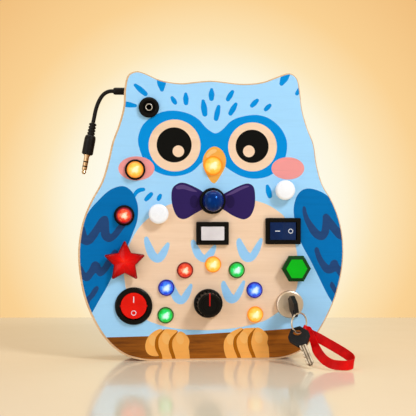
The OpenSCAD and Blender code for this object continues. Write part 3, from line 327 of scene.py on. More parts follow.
def pointer_line(name, middle_x):
    """Black plastic with a thin red line filled into it."""
    line_half, blur = 0.36, 0.1
    made = Finish(name, sheen=0.14, Roughness=0.35)
    across = made.axis(made.coords.outputs["Object"], "X")
    off = made.math("ABSOLUTE", made.math("SUBTRACT", across, middle_x * MM))
    cloud = made.noise(300, detail=4)
    red = made.tones(cloud, (170, 16, 12), (226, 30, 22))
    black = made.tones(cloud, (10, 9, 9), (19, 18, 18))
    made.paint(made.mix(made.span(off, 1, 0, line_half * MM, (line_half + blur) * MM), black, red))
    made.bump(cloud, 0.03)


def metal(name, dark, light, rough=(0.2, 0.38), stretch=(1, 1, 1), grain=500, depth=0.01):
    """Metal with a drawn or turned grain, darker patches and handling marks."""
    made = Finish(name, Metallic=1.0)
    made.paint(made.tones(made.noise(90, stretch, detail=6), dark, light))
    made.paint(made.span(made.noise(grain, stretch, detail=6), *rough), "Roughness")
    made.bump(made.noise(grain, stretch, detail=3), depth)


def cut_key(name, across, middle, half_w):
    """Key steel with painted shade and painted highlights in lines along the blade, where its groove cuts
    run; across is its width's direction.
    """
    made = Finish(name, Metallic=1.0)
    spread = made.vector("DOT_PRODUCT", made.coords.outputs["Object"], across)
    bent = made.span(spread, 0, 1, (middle - half_w) * MM, (middle + half_w) * MM)
    dark, mid, light = (78, 66, 54), (150, 136, 118), (226, 214, 196)
    # Painted shade (dark) and painted highlights (light) in bands across the blade's width
    groove_shade_and_highlights = [
        (0.0, mid), (0.14, light), (0.26, mid), (0.34, dark), (0.42, mid),
        (0.52, light), (0.62, mid), (0.7, dark), (0.78, mid), (0.92, light),
    ]
    wear = made.tones(made.noise(260, detail=5), (170, 165, 160), (255, 255, 255), high=0.6)
    made.paint(made.mix(0.8, made.ramp(bent, groove_shade_and_highlights), wear, "MULTIPLY"))
    made.paint(made.span(made.noise(500, detail=6), 0.34, 0.5), "Roughness")
    made.bump(bent, 0.02)


def ply_edges(made, colour, light, plies):
    """The colour with the plywood's layers showing on every face that looks sideways."""
    ply_mm = 1.3
    layers = made.node(
        "TexWave", wave_type="BANDS", bands_direction="Y", Scale=1 / (ply_mm * MM * math.tau),
        Distortion=0.6, Detail=2.0, Detail_Scale=30,
    )
    made.feed(made.coords.outputs["Object"], layers.inputs["Vector"])
    edge_tone = made.mix(0.75, colour, made.tones(layers.outputs["Fac"], plies, light, 0.35, 0.6), "MULTIPLY")
    sideways = made.span(made.math("ABSOLUTE", made.facing()), 1, 0, 0.45, 0.55)
    return made.mix(sideways, colour, edge_tone)


def timber(name, dark, light, streak=1.0, plies=None, upright=1.0):
    """Wood with its grain along X, and along Z too where upright is low; plies is the layers' tone."""
    made = Finish(name, sheen=0.15)
    fibre = made.fibre(upright)
    band = made.noise(70, (0.12, 1, upright), detail=5, distortion=1.2)
    grain = made.mix(0.45 * streak, fibre, band)
    colour = made.tones(grain, dark, light, 0.34, 0.62)
    made.paint(ply_edges(made, colour, light, plies) if plies else colour)
    made.paint(made.span(fibre, 0.5, 0.68), "Roughness")
    made.bump(grain, 0.05, 0.6)


def printed(name, colour, grain=0.06):
    """Ink on the plywood face: its colour wavers a little and the wood's fibre shows through."""
    made = Finish(name, sheen=0.06)
    fibre = made.fibre()
    tone = made.tones(made.noise(45, detail=3), scaled(colour, 1 - grain * 0.5), colour)
    made.paint(made.mix(made.span(fibre, 0.55, 0.0, 0.34, 0.5), tone, ink(*scaled(colour, 1 - grain * 1.6))))
    made.paint(made.span(fibre, 0.5, 0.62), "Roughness")
    made.bump(fibre, 0.03, 0.5)


def glowing(name, heart, middle, rim, edge, streaked):
    """A lit lens: facets round a hot middle, a bright streak across it if wanted, and a darker rim."""
    made = Finish(name, Roughness=0.1, sheen=0.35, Emission_Strength=1.0)
    flat = made.vector("MULTIPLY", made.place(space="Generated", shift=(-0.5, 0, -0.5)), (2, 0, 2))
    away = made.vector("LENGTH", flat)
    facets = made.node("TexVoronoi", Scale=2.6, Randomness=0.8)
    made.feed(flat, facets.inputs["Vector"])
    bent = made.math("MULTIPLY_ADD", facets.outputs["Color"], 0.42, away)
    glow = made.ramp(bent, [(0.28, heart), (0.62, middle), (1.0, rim)])
    if streaked:
        turned = made.node("Mapping", Rotation=(0, math.radians(38), 0))
        made.feed(flat, turned.inputs["Vector"])
        across = made.vector("LENGTH", made.vector("MULTIPLY", turned.outputs[0], (1.4, 0, 3.0)))
        glow = made.mix(made.span(across, 0.85, 0, 0.2, 1.05), glow, ink(*heart))
    made.paint(made.mix(made.span(away, 0, 1, 0.74, 0.92), glow, ink(*edge)), "Emission Color")
    made.paint(made.tones(away, scaled(middle, 0.35), scaled(edge, 0.6), 0.3, 0.85))
    made.bump(made.noise(600, detail=2), 0.01)


def star_painted_light():
    """Clear red plastic with painted light: a painted highlight, brightest at the star's middle, and painted
    shade, deep red, where its sides turn away.
    """
    made = Finish("star_red_painted_light", sheen=0.12)
    # Painted highlight: the tone is brightest near the star's middle and deepens outwards
    away = made.vector("DISTANCE", made.place((1, 0, 1), "Generated"), (0.5, 0, 0.46))
    cloud = made.noise(260, detail=5, distortion=0.8)
    bent = made.math("MULTIPLY_ADD", cloud, 0.22, away)
    stops = [(0.12, (255, 44, 20)), (0.24, (236, 8, 4)), (0.4, (204, 0, 0)), (0.6, (160, 0, 0))]
    tone = made.ramp(bent, stops)
    # Painted shade: faces turned away from the front take a deep red
    made.paint(made.mix(made.span(made.facing("Normal"), 0, 1, -0.7, -0.3), tone, ink(96, 0, 0)))
    made.paint(made.span(cloud, 0.14, 0.3), "Roughness")
    made.bump(cloud, 0.03)


def satin(name, dark, light, gap):
    """Satin: fine threads with darker gaps between them, and a soft gloss."""
    made = Finish(name, Roughness=0.4, sheen=0.14, Anisotropic=0.5)
    cloud = made.noise(120, detail=4)
    weave = made.node("TexWave", wave_type="BANDS", bands_direction="DIAGONAL", Scale=900, Distortion=0.5)
    made.feed(made.coords.outputs["Object"], weave.inputs["Vector"])
    threads = made.span(weave.outputs["Fac"], 0.0, 0.2, 0, 1)
    made.paint(made.mix(threads, made.tones(cloud, dark, light), ink(*gap)))
    made.paint(made.span(cloud, 0.3, 0.44), "Roughness")
    made.bump(weave.outputs["Fac"], 0.02)


# ---- Finishes ----

SPARE_ACROSS = (-0.9613, 0, -0.2756)  # the spare blade's width direction, as it hangs
SPARE_MIDDLE, SPARE_HALF = -59.27, 2.3  # its middle along that direction, and half its width

timber("plywood", (206, 158, 108), (238, 200, 154), plies=(186, 134, 86))
timber("frame_wood", (200, 156, 106), (234, 196, 148), 1.2, (212, 176, 130), 0.08)
moulded("black_plastic", (6, 6, 5), (14, 13, 12), (0.24, 0.38), sheen=0.1)
moulded("key_plastic", (12, 12, 13), (24, 23, 24), (0.42, 0.6), 1400, 0.04, sheen=0.16)
moulded("tray_plastic", (38, 38, 40), (52, 52, 54), (0.5, 0.65), 700, 0.04)
moulded("cord_rubber", (8, 7, 7), (18, 16, 16), (0.36, 0.5), grain=1200, sheen=0.18)
moulded(
    "navy_plastic", (0, 20, 78), (0, 36, 112), (0.13, 0.19), sheen=0.7, Specular_Tint=(0.06, 0.34, 1, 1)
)
moulded("rocker_blue", (6, 30, 72), (14, 44, 92), (0.25, 0.38), sheen=0.12)
moulded("white_plastic", (251, 252, 253), (254, 255, 255), (0.24, 0.36))
moulded("grey_cap", (218, 210, 208), (236, 230, 228), (0.35, 0.48))
moulded("red_plastic", (220, 12, 2), (246, 24, 6), (0.16, 0.28), sheen=0.16)
painted_side_shade_plastic("green_plastic", (0, 66, 18), (0, 190, 24), (0.16, 0.28))
moulded("dark_green_plastic", (2, 38, 18), (4, 54, 24), (0.25, 0.4), sheen=0.15)
# Painted shade for the keyhole: a dark sheet where the hole is
moulded("keyway_dark", (22, 16, 12), (54, 40, 30), (0.4, 0.6), grain=500)
moulded("white_ink", (226, 228, 232), (244, 245, 247), (0.45, 0.55))
moulded("cell_jacket", (40, 112, 72), (58, 134, 90), (0.3, 0.4))
moulded("circuit_green", (16, 92, 52), (26, 112, 66), (0.3, 0.45), grain=500)
moulded("wire_red", (176, 26, 20), (200, 40, 30), (0.4, 0.5))
moulded("emitter_clear", (226, 226, 214), (240, 240, 230), (0.15, 0.25))
pointer_line("red_line", KNOB_AT[0])
satin("satin_ribbon", (208, 0, 4), (250, 14, 12), (130, 0, 4))

metal("zinc_steel", (176, 176, 174), (206, 206, 203))
metal("spring_steel", (180, 176, 168), (206, 202, 196))
metal("tinned_brass", (198, 178, 128), (216, 198, 150))
metal("machined_steel", (170, 168, 166), (200, 198, 196), (0.25, 0.4))
metal("lock_face", (186, 172, 158), (230, 218, 206), (0.3, 0.48), (1, 0.4, 0.12), 700, 0.03)
metal("key_steel", (128, 112, 94), (170, 156, 138), (0.3, 0.46), (1, 1, 0.2))
cut_key("spare_steel", SPARE_ACROSS, SPARE_MIDDLE, SPARE_HALF)
metal("ring_steel", (178, 172, 164), (214, 210, 204), (0.12, 0.24))
metal("gold_plate", (170, 138, 104), (214, 186, 152), (0.14, 0.26))

# Screen colours of a lens from its hot middle outwards: heart, middle, rim, edge
glowing("lens_amber", (255, 246, 196), (255, 216, 92), (250, 184, 56), (224, 130, 24), True)
glowing("lens_red", (255, 236, 200), (250, 100, 56), (222, 22, 10), (96, 6, 6), False)
glowing("lens_green", (226, 255, 242), (24, 230, 110), (0, 190, 52), (0, 66, 12), True)
glowing("lens_blue", (228, 246, 255), (70, 150, 250), (10, 58, 222), (0, 10, 112), True)
star_painted_light()

printed("print_blue", (168, 221, 255), 0.02)
printed("print_bright", (0, 146, 222), 0.03)
printed("print_wing", (0, 116, 184), 0.05)
printed("print_mark", (38, 74, 124), 0.08)
timber("print_wood", (243, 206, 168), (252, 218, 184))
printed("print_pupil", (12, 12, 10), 0.05)
printed("print_blush", (250, 160, 154), 0.04)
printed("print_beak", (250, 178, 76), 0.05)
printed("print_beak_light", (253, 200, 122), 0.03)
printed("print_bow", (50, 34, 92), 0.06)
printed("print_bow_light", (94, 72, 124), 0.06)
printed("print_bow_dark", (40, 26, 76), 0.06)
printed("print_foot", (255, 180, 88), 0.04)
printed("print_foot_light", (255, 190, 104), 0.03)
printed("print_gap", (176, 100, 10), 0.08)
printed("print_chevron", (158, 211, 250), 0.03)
timber("print_branch", (66, 28, 0), (176, 100, 20), 1.1)


# ---- Lead ----

LEAD_START = (-68.2, 0, 187.8)  # inside its sleeve
LEAD_ROUTE = [
    (-68.8, 0, 187.8), (-71, 0, 187.7), (-73.3, 0, 186.9), (-75.5, 0, 185.3), (-77.3, 0, 183),
    (-78.8, 0, 180.2), (-80, 0, 177.2), (-81, 0, 173.8), (-81.8, 0, 169.8), (-82.7, 0, 165.4),
]
LEAD_R = 1.4
BACKWARDS = np.array((0.0, 1.0, 0.0))

lead_line = spline([LEAD_START, *LEAD_ROUTE], 5)
lead_rings = []
for i, point in enumerate(lead_line):
    before, after = neighbours(lead_line, i)
    up = np.cross(unit(after - before), BACKWARDS)
    lead_rings.append([point + LEAD_R * (math.cos(a) * BACKWARDS + math.sin(a) * up) for a in around(20)])
lead = piece("lead", *loft(lead_rings, False), ["cord_rubber"], "board", slot="cord_rubber")
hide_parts("lead_cord")


# ---- Ribbon, which starts and ends in a wrap round the key ring's wire ----

RING_TURN = math.radians(32)
RING_R = 6.7
RING_CENTRE = np.array((56.896, -38.056, 27.920))
WRAP_ANGLE = math.radians(56)
UP = np.array((0, 0, 1))
ring_side = np.array((math.cos(RING_TURN), math.sin(RING_TURN), 0))
wrap_out = math.sin(WRAP_ANGLE) * ring_side - math.cos(WRAP_ANGLE) * UP
wrap_along = math.cos(WRAP_ANGLE) * ring_side + math.sin(WRAP_ANGLE) * UP
wrap_behind = np.array((-math.sin(RING_TURN), math.cos(RING_TURN), 0))


def by_wire(out, behind):
    """A point beside the ring's wire: so far out from the wire's middle, and so far behind it."""
    return RING_CENTRE + (RING_R + out) * wrap_out + behind * wrap_behind


def leaning(slope):
    """The band's width direction where it leans by a slope in degrees."""
    return np.array((math.sin(math.radians(slope)), 0, math.cos(math.radians(slope))))


# Points of the band's middle, with its width direction and its share of the full width there
RIBBON_ROUTE = [
    (by_wire(-1.6, 0), wrap_along, 0.42), (by_wire(0.1, 1.5), wrap_along, 0.45),
    (by_wire(2.2, 1.2), wrap_along, 0.6), ((66, -34.2, 20), leaning(34), 0.85),
    ((70.4, -36.6, 17.4), leaning(30), 1), ((75.4, -41.5, 14.6), leaning(28), 1),
    ((80.8, -48.5, 11.6), leaning(28), 1), ((85, -56, 9), leaning(26), 1),
    ((87.6, -63, 6.8), leaning(16), 1), ((87.4, -68.5, 4.8), leaning(8), 1),
    ((84, -70.8, 3.9), leaning(4), 1), ((79, -70.6, 3.8), leaning(0), 1),
    ((73.6, -68, 4.2), leaning(6), 1), ((70, -62.5, 5.8), leaning(24), 1),
    ((68, -55.5, 8.2), leaning(38), 1), ((66.8, -48, 11.2), leaning(50), 1),
    ((66.4, -41.4, 14.6), leaning(50), 0.85), (by_wire(3.8, -0.7), leaning(40), 0.7),
    (by_wire(0.1, -1.5), wrap_along, 0.45),
]
RIBBON_W, RIBBON_T = 6.4, 0.5
# One side of the band's section, from edge to edge, in shares of its half width and half thickness
BAND_SIDE = [(-1, 0), (-0.97, 0.9), (-0.88, 0.62), (-0.4, 0.5), (0.4, 0.5), (0.88, 0.62), (0.97, 0.9)]
BAND_SECTION = BAND_SIDE + [(-x, -y) for x, y in BAND_SIDE]

ribbon_middle = spline([point for point, _, _ in RIBBON_ROUTE], 6, True)
ribbon_across = spline([direction for _, direction, _ in RIBBON_ROUTE], 6, True)
ribbon_share = spline([(share,) for _, _, share in RIBBON_ROUTE], 6, True)
ribbon_rings = []
for i, (point, across, share) in enumerate(zip(ribbon_middle, ribbon_across, ribbon_share)):
    before, after = neighbours(ribbon_middle, i, True)
    across = unit(across)
    flat = unit(np.cross(unit(after - before), across))
    w, t = RIBBON_W / 2 * share[0], RIBBON_T / 2
    ribbon_rings.append([point + x * w * across + y * t * flat for x, y in BAND_SECTION])
ribbon_skin = loft(ribbon_rings, True)
ribbon = piece("ribbon_band", *ribbon_skin, ["satin_ribbon"], "wrist_ribbon", slot="satin_ribbon")
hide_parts("ribbon")


# ---- Printed face ----

def front_loops():
    """Boundary loops of the front panel's outer face, in millimetres on it: the outline, then the holes."""
    per_mm = 100  # steps to a millimetre, fine enough to tell the corners apart
    mesh = nodes["front_panel"].data
    keys = [tuple(round(c / MM * per_mm) for c in v.co) for v in mesh.vertices]
    level = round(FACE_Y * per_mm)
    edges = {}
    for polygon in mesh.polygons:
        corners = [keys[i] for i in polygon.vertices]
        if all(abs(c[1] - level) <= 1 for c in corners):
            for a, b in zip(corners, corners[1:] + corners[:1]):
                if (b, a) in edges:
                    del edges[(b, a)]
                else:
                    edges[(a, b)] = True
    following = {a: b for a, b in edges}
    loops = []
    while following:
        here = next(iter(following))
        loop = []
        while here in following:
            loop.append((here[0] / per_mm, here[2] / per_mm))
            here = following.pop(here)
        loops.append(loop)
    loops.sort(key=lambda loop: -abs(area(loop)))
    return loops


def area(loop):
    return sum(a[0] * b[1] - b[0] * a[1] for a, b in zip(loop, loop[1:] + loop[:1])) / 2


def inset(loop, depth):
    """The loop moved inwards by a depth."""
    sign = 1 if area(loop) > 0 else -1
    out = []
    for i, point in enumerate(loop):
        before, after = neighbours(loop, i, True)
        ahead = unit(np.subtract(after, before))
        out.append((point[0] - sign * depth * ahead[1], point[1] + sign * depth * ahead[0]))
    return out


def circle(x, z, r, squash=1.0, turn=0.0, sides=72):
    """A circle, or an ellipse that is squashed along its own up and then turned by degrees."""
    c, s = math.cos(math.radians(turn)), math.sin(math.radians(turn))
    flat = [(r * math.cos(a), r * squash * math.sin(a)) for a in around(sides)]
    return [(x + u * c - v * s, z + u * s + v * c) for u, v in flat]


def blob(points, steps=5):
    """A smooth closed outline through the points."""
    return [tuple(p) for p in spline(points, steps, True)]


def stroke(points, widths, steps=4):
    """Outline of a brush stroke along points, with a width at each and round ends."""
    rows = spline([(*p, w / 2) for p, w in zip(points, widths)], steps)
    left, right = [], []
    for i, row in enumerate(rows):
        before, after = neighbours(rows, i)
        ahead = unit(after[:2] - before[:2])
        side = row[2] * np.array((-ahead[1], ahead[0]))
        left.append(tuple(row[:2] + side))
        right.append(tuple(row[:2] - side))

    def cap(row, towards):
        x, z, r = row
        turns = math.atan2(towards[1], towards[0]) - np.linspace(0, math.pi, 8)[1:-1]
        return [(x + r * math.cos(a), z + r * math.sin(a)) for a in turns]

    end = cap(rows[-1], np.subtract(left[-1], rows[-1][:2]))
    start = cap(rows[0], np.subtract(right[0], rows[0][:2]))
    return left + end + right[::-1] + start


# A chevron's outline from its inner corner round both tips and back: shares across and down from its tips
CHEVRON = [
    (0.05, 0.63), (-0.12, 0.56), (-0.31, 0.395), (-0.54, 0.2), (-0.71, 0.04), (-0.79, -0.01),
    (-0.9, -0.015), (-1.03, 0.04), (-1.09, 0.17), (-1.03, 0.41), (-0.87, 0.68), (-0.64, 0.88),
    (-0.31, 0.99), (-0.01, 1), (0.31, 0.93), (0.58, 0.77), (0.8, 0.56), (0.95, 0.33), (1.05, 0.1),
    (1.02, 0.02), (0.9, 0), (0.77, 0.06), (0.44, 0.31), (0.21, 0.5), (0.05, 0.63),
]


def chevron(left, bottom, right):
    """The chevron through its left tip, lowest point and right tip."""
    half = (right[0] - left[0]) / 2
    middle, top = (left[0] + right[0]) / 2, (left[1] + right[1]) / 2
    lean = (right[1] - left[1]) / (right[0] - left[0])
    deep = top - bottom[1]
    rows = [(middle + u * half, top + u * half * lean - v * deep) for u, v in CHEVRON]
    return [tuple(p) for p in spline(rows, 3)[:-1]]


# The printed owl's outlines, in millimetres across and up the face
PATCH = [
    (4, 138.6), (-3, 139.6), (-7.5, 137), (-14, 131), (-22.5, 128), (-31, 128), (-39.5, 131),
    (-46.5, 137.5), (-50, 145), (-51.5, 153), (-49, 161.5), (-43.5, 167.5), (-35, 172), (-26, 173),
    (-16.5, 171), (-9.5, 167), (-4, 161), (2, 157.5), (7, 160), (13, 166), (20, 169), (30, 170.5),
    (39, 168.5), (47, 162.5), (51.5, 155), (52.5, 147.5), (50.5, 139), (45.5, 132), (38.5, 127.5),
    (29.5, 126), (21, 127.5), (14, 131), (9, 134.5), (7, 137),
]
BEAK = [
    (1.5, 148.3), (6.5, 146), (9.4, 140.5), (9, 134.5), (6, 128.5), (3, 124), (1.2, 122.8), (-1.2, 124.3),
    (-4.8, 130.5), (-6.6, 136), (-6, 141.5), (-3, 146),
]
BEAK_LIGHT = [
    (-4.4, 141.5), (-2.6, 144.6), (0.5, 146.4), (3, 146), (2.4, 144.4), (-0.6, 142.8), (-3, 140.6),
]
BOW_LEFT = [
    (-27.5, 119.5), (-23.5, 122.7), (-19.5, 123), (-14, 121), (-7.5, 117.5), (-3, 113), (-3, 107),
    (-7, 104.5), (-12.5, 101.5), (-17.5, 98.5), (-21.5, 98), (-25, 100.5), (-27.5, 106.5), (-28.5, 113.5),
]
BOW_RIGHT = [
    (3, 113), (9, 116), (15, 119.2), (21.5, 122), (25.8, 122.5), (29, 120), (30, 113.5), (29.5, 106.5),
    (27, 100.5), (23.5, 98), (20, 98), (14, 100.5), (8.5, 104), (3, 107),
]
BOW_LEFT_LIGHT = [
    (-25.4, 120.3), (-21, 121.7), (-16, 120.2), (-10.5, 117), (-14.5, 117.2), (-20, 118.7), (-24.2, 118.6),
]
BOW_RIGHT_LIGHT = [(9.5, 114.4), (16.5, 118.6), (23, 121.1), (25.8, 120.6), (20.5, 118.4), (14, 115.2)]
BELLY = [
    (-14, 109.5), (-21, 109), (-28, 108.5), (-33, 106.6), (-38.5, 103), (-45, 98), (-50, 93), (-53.5, 88),
    (-56.2, 83), (-59, 76), (-60.5, 69), (-61.3, 62), (-60.6, 55), (-59, 46.5), (-55, 37.5), (-50.5, 31.8),
    (-45, 28), (-38, 25.2), (-32, 23.4), (-21, 21.6), (-6.5, 20.8), (1, 20.8), (15.5, 22), (26.5, 24),
    (36.5, 27), (43.5, 31), (51, 37), (56, 42.5), (59, 49), (60.4, 56), (60.5, 64), (59.8, 72), (58, 81.5),
    (55, 91.5), (50.5, 99.5), (46, 103.5), (40.5, 107), (34.5, 109.5), (27, 111), (14, 110.5), (0, 110),
]
WING_LEFT = [
    (-96, 84), (-91, 92.5), (-85, 103.5), (-78.5, 111), (-71.5, 117.5), (-64.5, 120.5), (-59.5, 120),
    (-55, 116), (-52, 109), (-51.4, 102), (-52.5, 95), (-55, 88.5), (-57.8, 81.5), (-63, 70.5),
    (-69.5, 58), (-73.5, 50), (-78.5, 41.5), (-83, 33.5), (-87.5, 27), (-96, 36), (-98, 60),
]
WING_RIGHT = [
    (96, 36), (89.5, 31.5), (85, 38.5), (80.5, 46), (75.5, 56), (69, 69), (63, 80), (59, 91.5),
    (57.2, 102), (57.5, 108), (59.5, 114), (63, 118), (67.5, 119.3), (72.5, 118.5), (77.5, 116.5),
    (82.5, 113), (88, 107), (94, 99), (98, 70),
]
WING_MARKS = [
    [(-92.2, 93.2), (-88.5, 93), (-87.4, 90.1), (-86.2, 86.8), (-84, 89.2), (-80.9, 93.6), (-77.9, 98.2),
     (-75.2, 100.1), (-72.6, 99.7), (-71.5, 96.2), (-71.3, 91.8), (-70.9, 88.3), (-69.8, 87.9),
     (-67.8, 90.1), (-65.6, 93.1), (-63.4, 94.9), (-59.9, 94), (-61.7, 90.9), (-64.3, 87.4), (-66.9, 84.4),
     (-70, 82.4), (-72.6, 82.3), (-75.2, 83.9), (-76.8, 86.6), (-77.4, 89.2), (-79.6, 85.7), (-82.7, 81.8),
     (-85.7, 80.1), (-88.3, 80.3), (-90.3, 81.4), (-92.7, 83.1)],
    [(-92.2, 66), (-89.8, 65.4), (-88.1, 62.1), (-87, 61.2), (-84.8, 64.2), (-83.1, 67.7), (-80.5, 69),
     (-78.1, 67.5), (-76.5, 64.9), (-74.4, 67.9), (-72.2, 71), (-69.6, 75.1), (-67.4, 77.1), (-65.4, 75.1),
     (-67.8, 70.3), (-70.4, 65.5), (-73.5, 61.1), (-76.5, 58.7), (-78.9, 59), (-80.5, 60.9), (-82.7, 58.5),
     (-84.8, 55.9), (-87.2, 55.3), (-89.2, 56.4), (-92.2, 58.2)],
    [(-80, 51.9), (-78.5, 51.1), (-78.9, 48.9), (-81.3, 44.9), (-84, 41.9), (-85.7, 38.8), (-88.3, 40.6),
     (-86.8, 44.1), (-84.4, 46.7), (-82.2, 50.2)],
    [(64.3, 106.9), (65.7, 105.8), (66.5, 102.4), (68.4, 98.1), (71.1, 94.3), (73.8, 91.1), (76.4, 89.1),
     (77.3, 92.2), (77.7, 96.5), (77.9, 100.2), (80.1, 101.6), (82.2, 100.5), (84.1, 98.1), (86.9, 94.8),
     (89.6, 91.6), (94, 88.9), (94, 82.5), (91, 83.1), (88, 84.6), (85, 87.9), (82.6, 90.5), (82.2, 88.4),
     (80.6, 85.2), (78.2, 83.3), (74.9, 83.3), (71.6, 85.2), (68.9, 88.4), (66.7, 92.7), (64.6, 97.5),
     (63.5, 102.4), (63.5, 105.6)],
    [(73.3, 78.2), (74.9, 77.1), (76, 73.9), (78.2, 69.6), (82, 65.6), (83.6, 68), (85.8, 69.3),
     (88, 68.5), (89.6, 65.3), (92.3, 62.6), (92.9, 56.7), (89.9, 57.2), (88.2, 59.4), (86.9, 61),
     (84.1, 59.9), (81.4, 59.7), (78.7, 61), (76, 64.8), (73.8, 69.1), (72.4, 73.4), (71.9, 76.6)],
    [(83.9, 54), (85.8, 52.4), (87.4, 49.7), (89.9, 47), (89.1, 43.2), (86.3, 45.4), (84.1, 48.6),
     (82.8, 51.3)],
]
# Straight strokes: start, end, and the width at each
TICKS = [
    ((-53.4, 190.4), (-46.4, 184.4), 2.2, 3.2), ((-63, 177.6), (-53.4, 176.2), 3.2, 2.4),
    ((-35.5, 196.5), (-35, 187.6), 5.2, 3), ((-28, 182), (-25.8, 178.5), 2.2, 2.8),
    ((-18.5, 184.6), (-18.3, 178.4), 2.2, 3.2), ((-0.5, 187.8), (-0.6, 181.6), 2.2, 3.4),
    ((-6.4, 179.8), (-5.2, 170.8), 2.4, 3.6), ((4.4, 176), (2.6, 167.6), 2.6, 3.2),
    ((14, 186.4), (10.9, 181.2), 2.6, 3), ((16.4, 177.8), (12.7, 171.4), 2.6, 3.2),
    ((31.4, 180.6), (27.8, 177), 2.6, 3), ((40.3, 177.2), (37.4, 174.4), 2.6, 2.8),
    ((52.6, 200), (48.6, 192.6), 4.6, 3.2), ((63, 190.4), (59.4, 185.6), 2.8, 2.6),
    ((38.6, 120.8), (40.3, 114), 2.4, 3.4), ((-42.4, 115.2), (-46, 111.4), 2.8, 2.6),
    ((-36.1, 114.3), (-37.4, 111.7), 2.4, 2.6),
]
TICK_CURVES = [([(-54.4, 113.6), (-52.6, 116.4), (-50.4, 117.9), (-47.8, 118.4)], [2.4, 2.8, 3, 2.6])]
CHEVRONS = [
    ((-46.6, 85.9), (-38.5, 67.8), (-30.1, 81.6)), ((-14.2, 83.6), (-6, 67.9), (2.5, 79.8)),
    ((17.6, 84.3), (26.6, 68), (34.8, 84.7)), ((-29.7, 55.6), (-22, 38.9), (-14.2, 53)),
    ((6.8, 54.7), (15, 39.3), (22.6, 55.2)),
]
BRANCH = [
    (-98, 15.4), (-84, 16), (-74.5, 16.5), (-46.5, 17), (-15, 17.8), (8, 18.9), (39, 20.2), (56, 21.4),
    (64, 21.7), (69, 20.4), (75.5, 17.6), (84.5, 13.5), (98, 9), (98, -8), (-98, -8),
]
# Toes of the left foot, then of the right one, each over a darker gap
TOES = [
    [(-34.5, 21.5), (-40, 20.5), (-44.5, 16.5), (-46.5, 11), (-45.5, 6), (-42, 3.5), (-36.5, 4),
     (-35, 12.5)],
    [(-33.5, 21.5), (-28, 21.5), (-24, 20), (-27.5, 12.5), (-26.5, 2.5), (-26, -3), (-35.5, -3), (-36, 4),
     (-37.5, 11), (-36, 17)],
    [(-23, 20), (-19, 18.5), (-16, 14), (-16.5, 9), (-16, 5.5), (-16.5, -3), (-26, -3), (-27.5, 9),
     (-26.5, 15.5)],
    [(21.5, 21.5), (14.5, 20), (9.5, 15.5), (8, 11), (8.5, 5.5), (11, 0.5), (18.5, 0.5), (17, 8.5)],
    [(21, 21), (26, 22), (30.5, 21.5), (26.5, 15.5), (26.5, 8), (30, -2), (19.5, -2), (17.5, 6),
     (18, 14.5)],
    [(30.5, 22), (35.5, 20.5), (39, 16), (38.5, 11.5), (39.5, 7.5), (39, -2), (29, -2), (27.5, 8),
     (27.5, 14.5)],
]
TOE_GAPS = [
    ([(-33.5, 21.5), (-38, 16), (-38.5, 9.5), (-36, 3.5), (-35.4, -2)], [0.6, 2, 2.6, 2.2, 1.4]),
    ([(-24, 20), (-28.5, 14.5), (-29, 9), (-27, 2.5), (-26, -2)], [0.6, 2, 2.6, 2.4, 2.2]),
    ([(21.5, 21), (16.5, 15.5), (16, 9.5), (18.5, 2.5), (20, -2)], [0.6, 2, 2.6, 2.4, 2.2]),
    ([(30, 21.5), (26, 15.5), (26.5, 8.5), (29, 2), (30, -2)], [0.6, 2, 2.6, 2.4, 2.2]),
]
# Lighter patches on the toes: middle and half width
TOE_LIGHTS = [
    (-41.4, 14.2, 2.6), (-32, 15.4, 2.8), (-22.4, 15, 2.6), (12.6, 14.2, 2.6), (22, 15.4, 2.8),
    (32.4, 15.4, 2.8),
]


def tick(start, end, start_w, end_w):
    """A straight stroke that swells in its middle."""
    swell = 1.2
    middle = tuple((np.array(start) + end) / 2)
    return stroke([start, middle, end], [start_w, swell * max(start_w, end_w), end_w])


# The inked areas from the lowest to the highest: each covers what lies under it
LAYERS = [(blob(BELLY), "print_wood")]
LAYERS += [(tick(*row), "print_bright") for row in TICKS]
LAYERS += [(stroke(points, widths), "print_bright") for points, widths in TICK_CURVES]
LAYERS += [(chevron(*tips), "print_chevron") for tips in CHEVRONS]
LAYERS += [
    (blob(PATCH), "print_bright"),
    (circle(-26.2, 148.9, 18), "print_wood"),
    (circle(-26.5, 149.3, 12.15), "print_pupil"),
    (circle(-23.6, 144.9, 4, sides=40), "print_wood"),
    (circle(28.2, 148.2, 17.1), "print_wood"),
    (circle(27.9, 148.6, 11.6), "print_pupil"),
    (circle(25.6, 145.1, 4.1, sides=40), "print_wood"),
    (circle(-52.6, 132.9, 12.4, 0.67), "print_blush"),
    (circle(53.1, 133.3, 11.55, 0.675), "print_blush"),
    (blob(BEAK), "print_beak"),
    (blob(BEAK_LIGHT), "print_beak_light"),
    (blob(WING_LEFT), "print_wing"),
    (blob(WING_RIGHT), "print_wing"),
]
LAYERS += [(blob(points, 4), "print_mark") for points in WING_MARKS]
LAYERS += [
    (blob(BOW_LEFT), "print_bow"),
    (blob(BOW_RIGHT), "print_bow"),
    (blob(BOW_LEFT_LIGHT), "print_bow_light"),
    (blob(BOW_RIGHT_LIGHT), "print_bow_light"),
    (circle(-12.6, 110, 3, 1.5, sides=40), "print_bow_dark"),
    (circle(12.6, 110, 3, 1.5, sides=40), "print_bow_dark"),
    (blob(BRANCH), "print_branch"),
]
LAYERS += [(blob(toe), "print_foot") for toe in TOES]
LAYERS += [(circle(x, z, r, 1.5, 12, sides=32), "print_foot_light") for x, z, r in TOE_LIGHTS]
LAYERS += [(stroke(points, widths), "print_gap") for points, widths in TOE_GAPS]


def inside(points, loop):
    """Which points lie inside a loop."""
    x, z = points[:, 0], points[:, 1]
    hit = np.zeros(len(points), bool)
    for a, b in zip(loop, loop[1:] + loop[:1]):
        if a[1] != b[1]:
            crosses = (a[1] > z) != (b[1] > z)
            hit ^= crosses & (x < (b[0] - a[0]) * (z - a[1]) / (b[1] - a[1]) + a[0])
    return hit


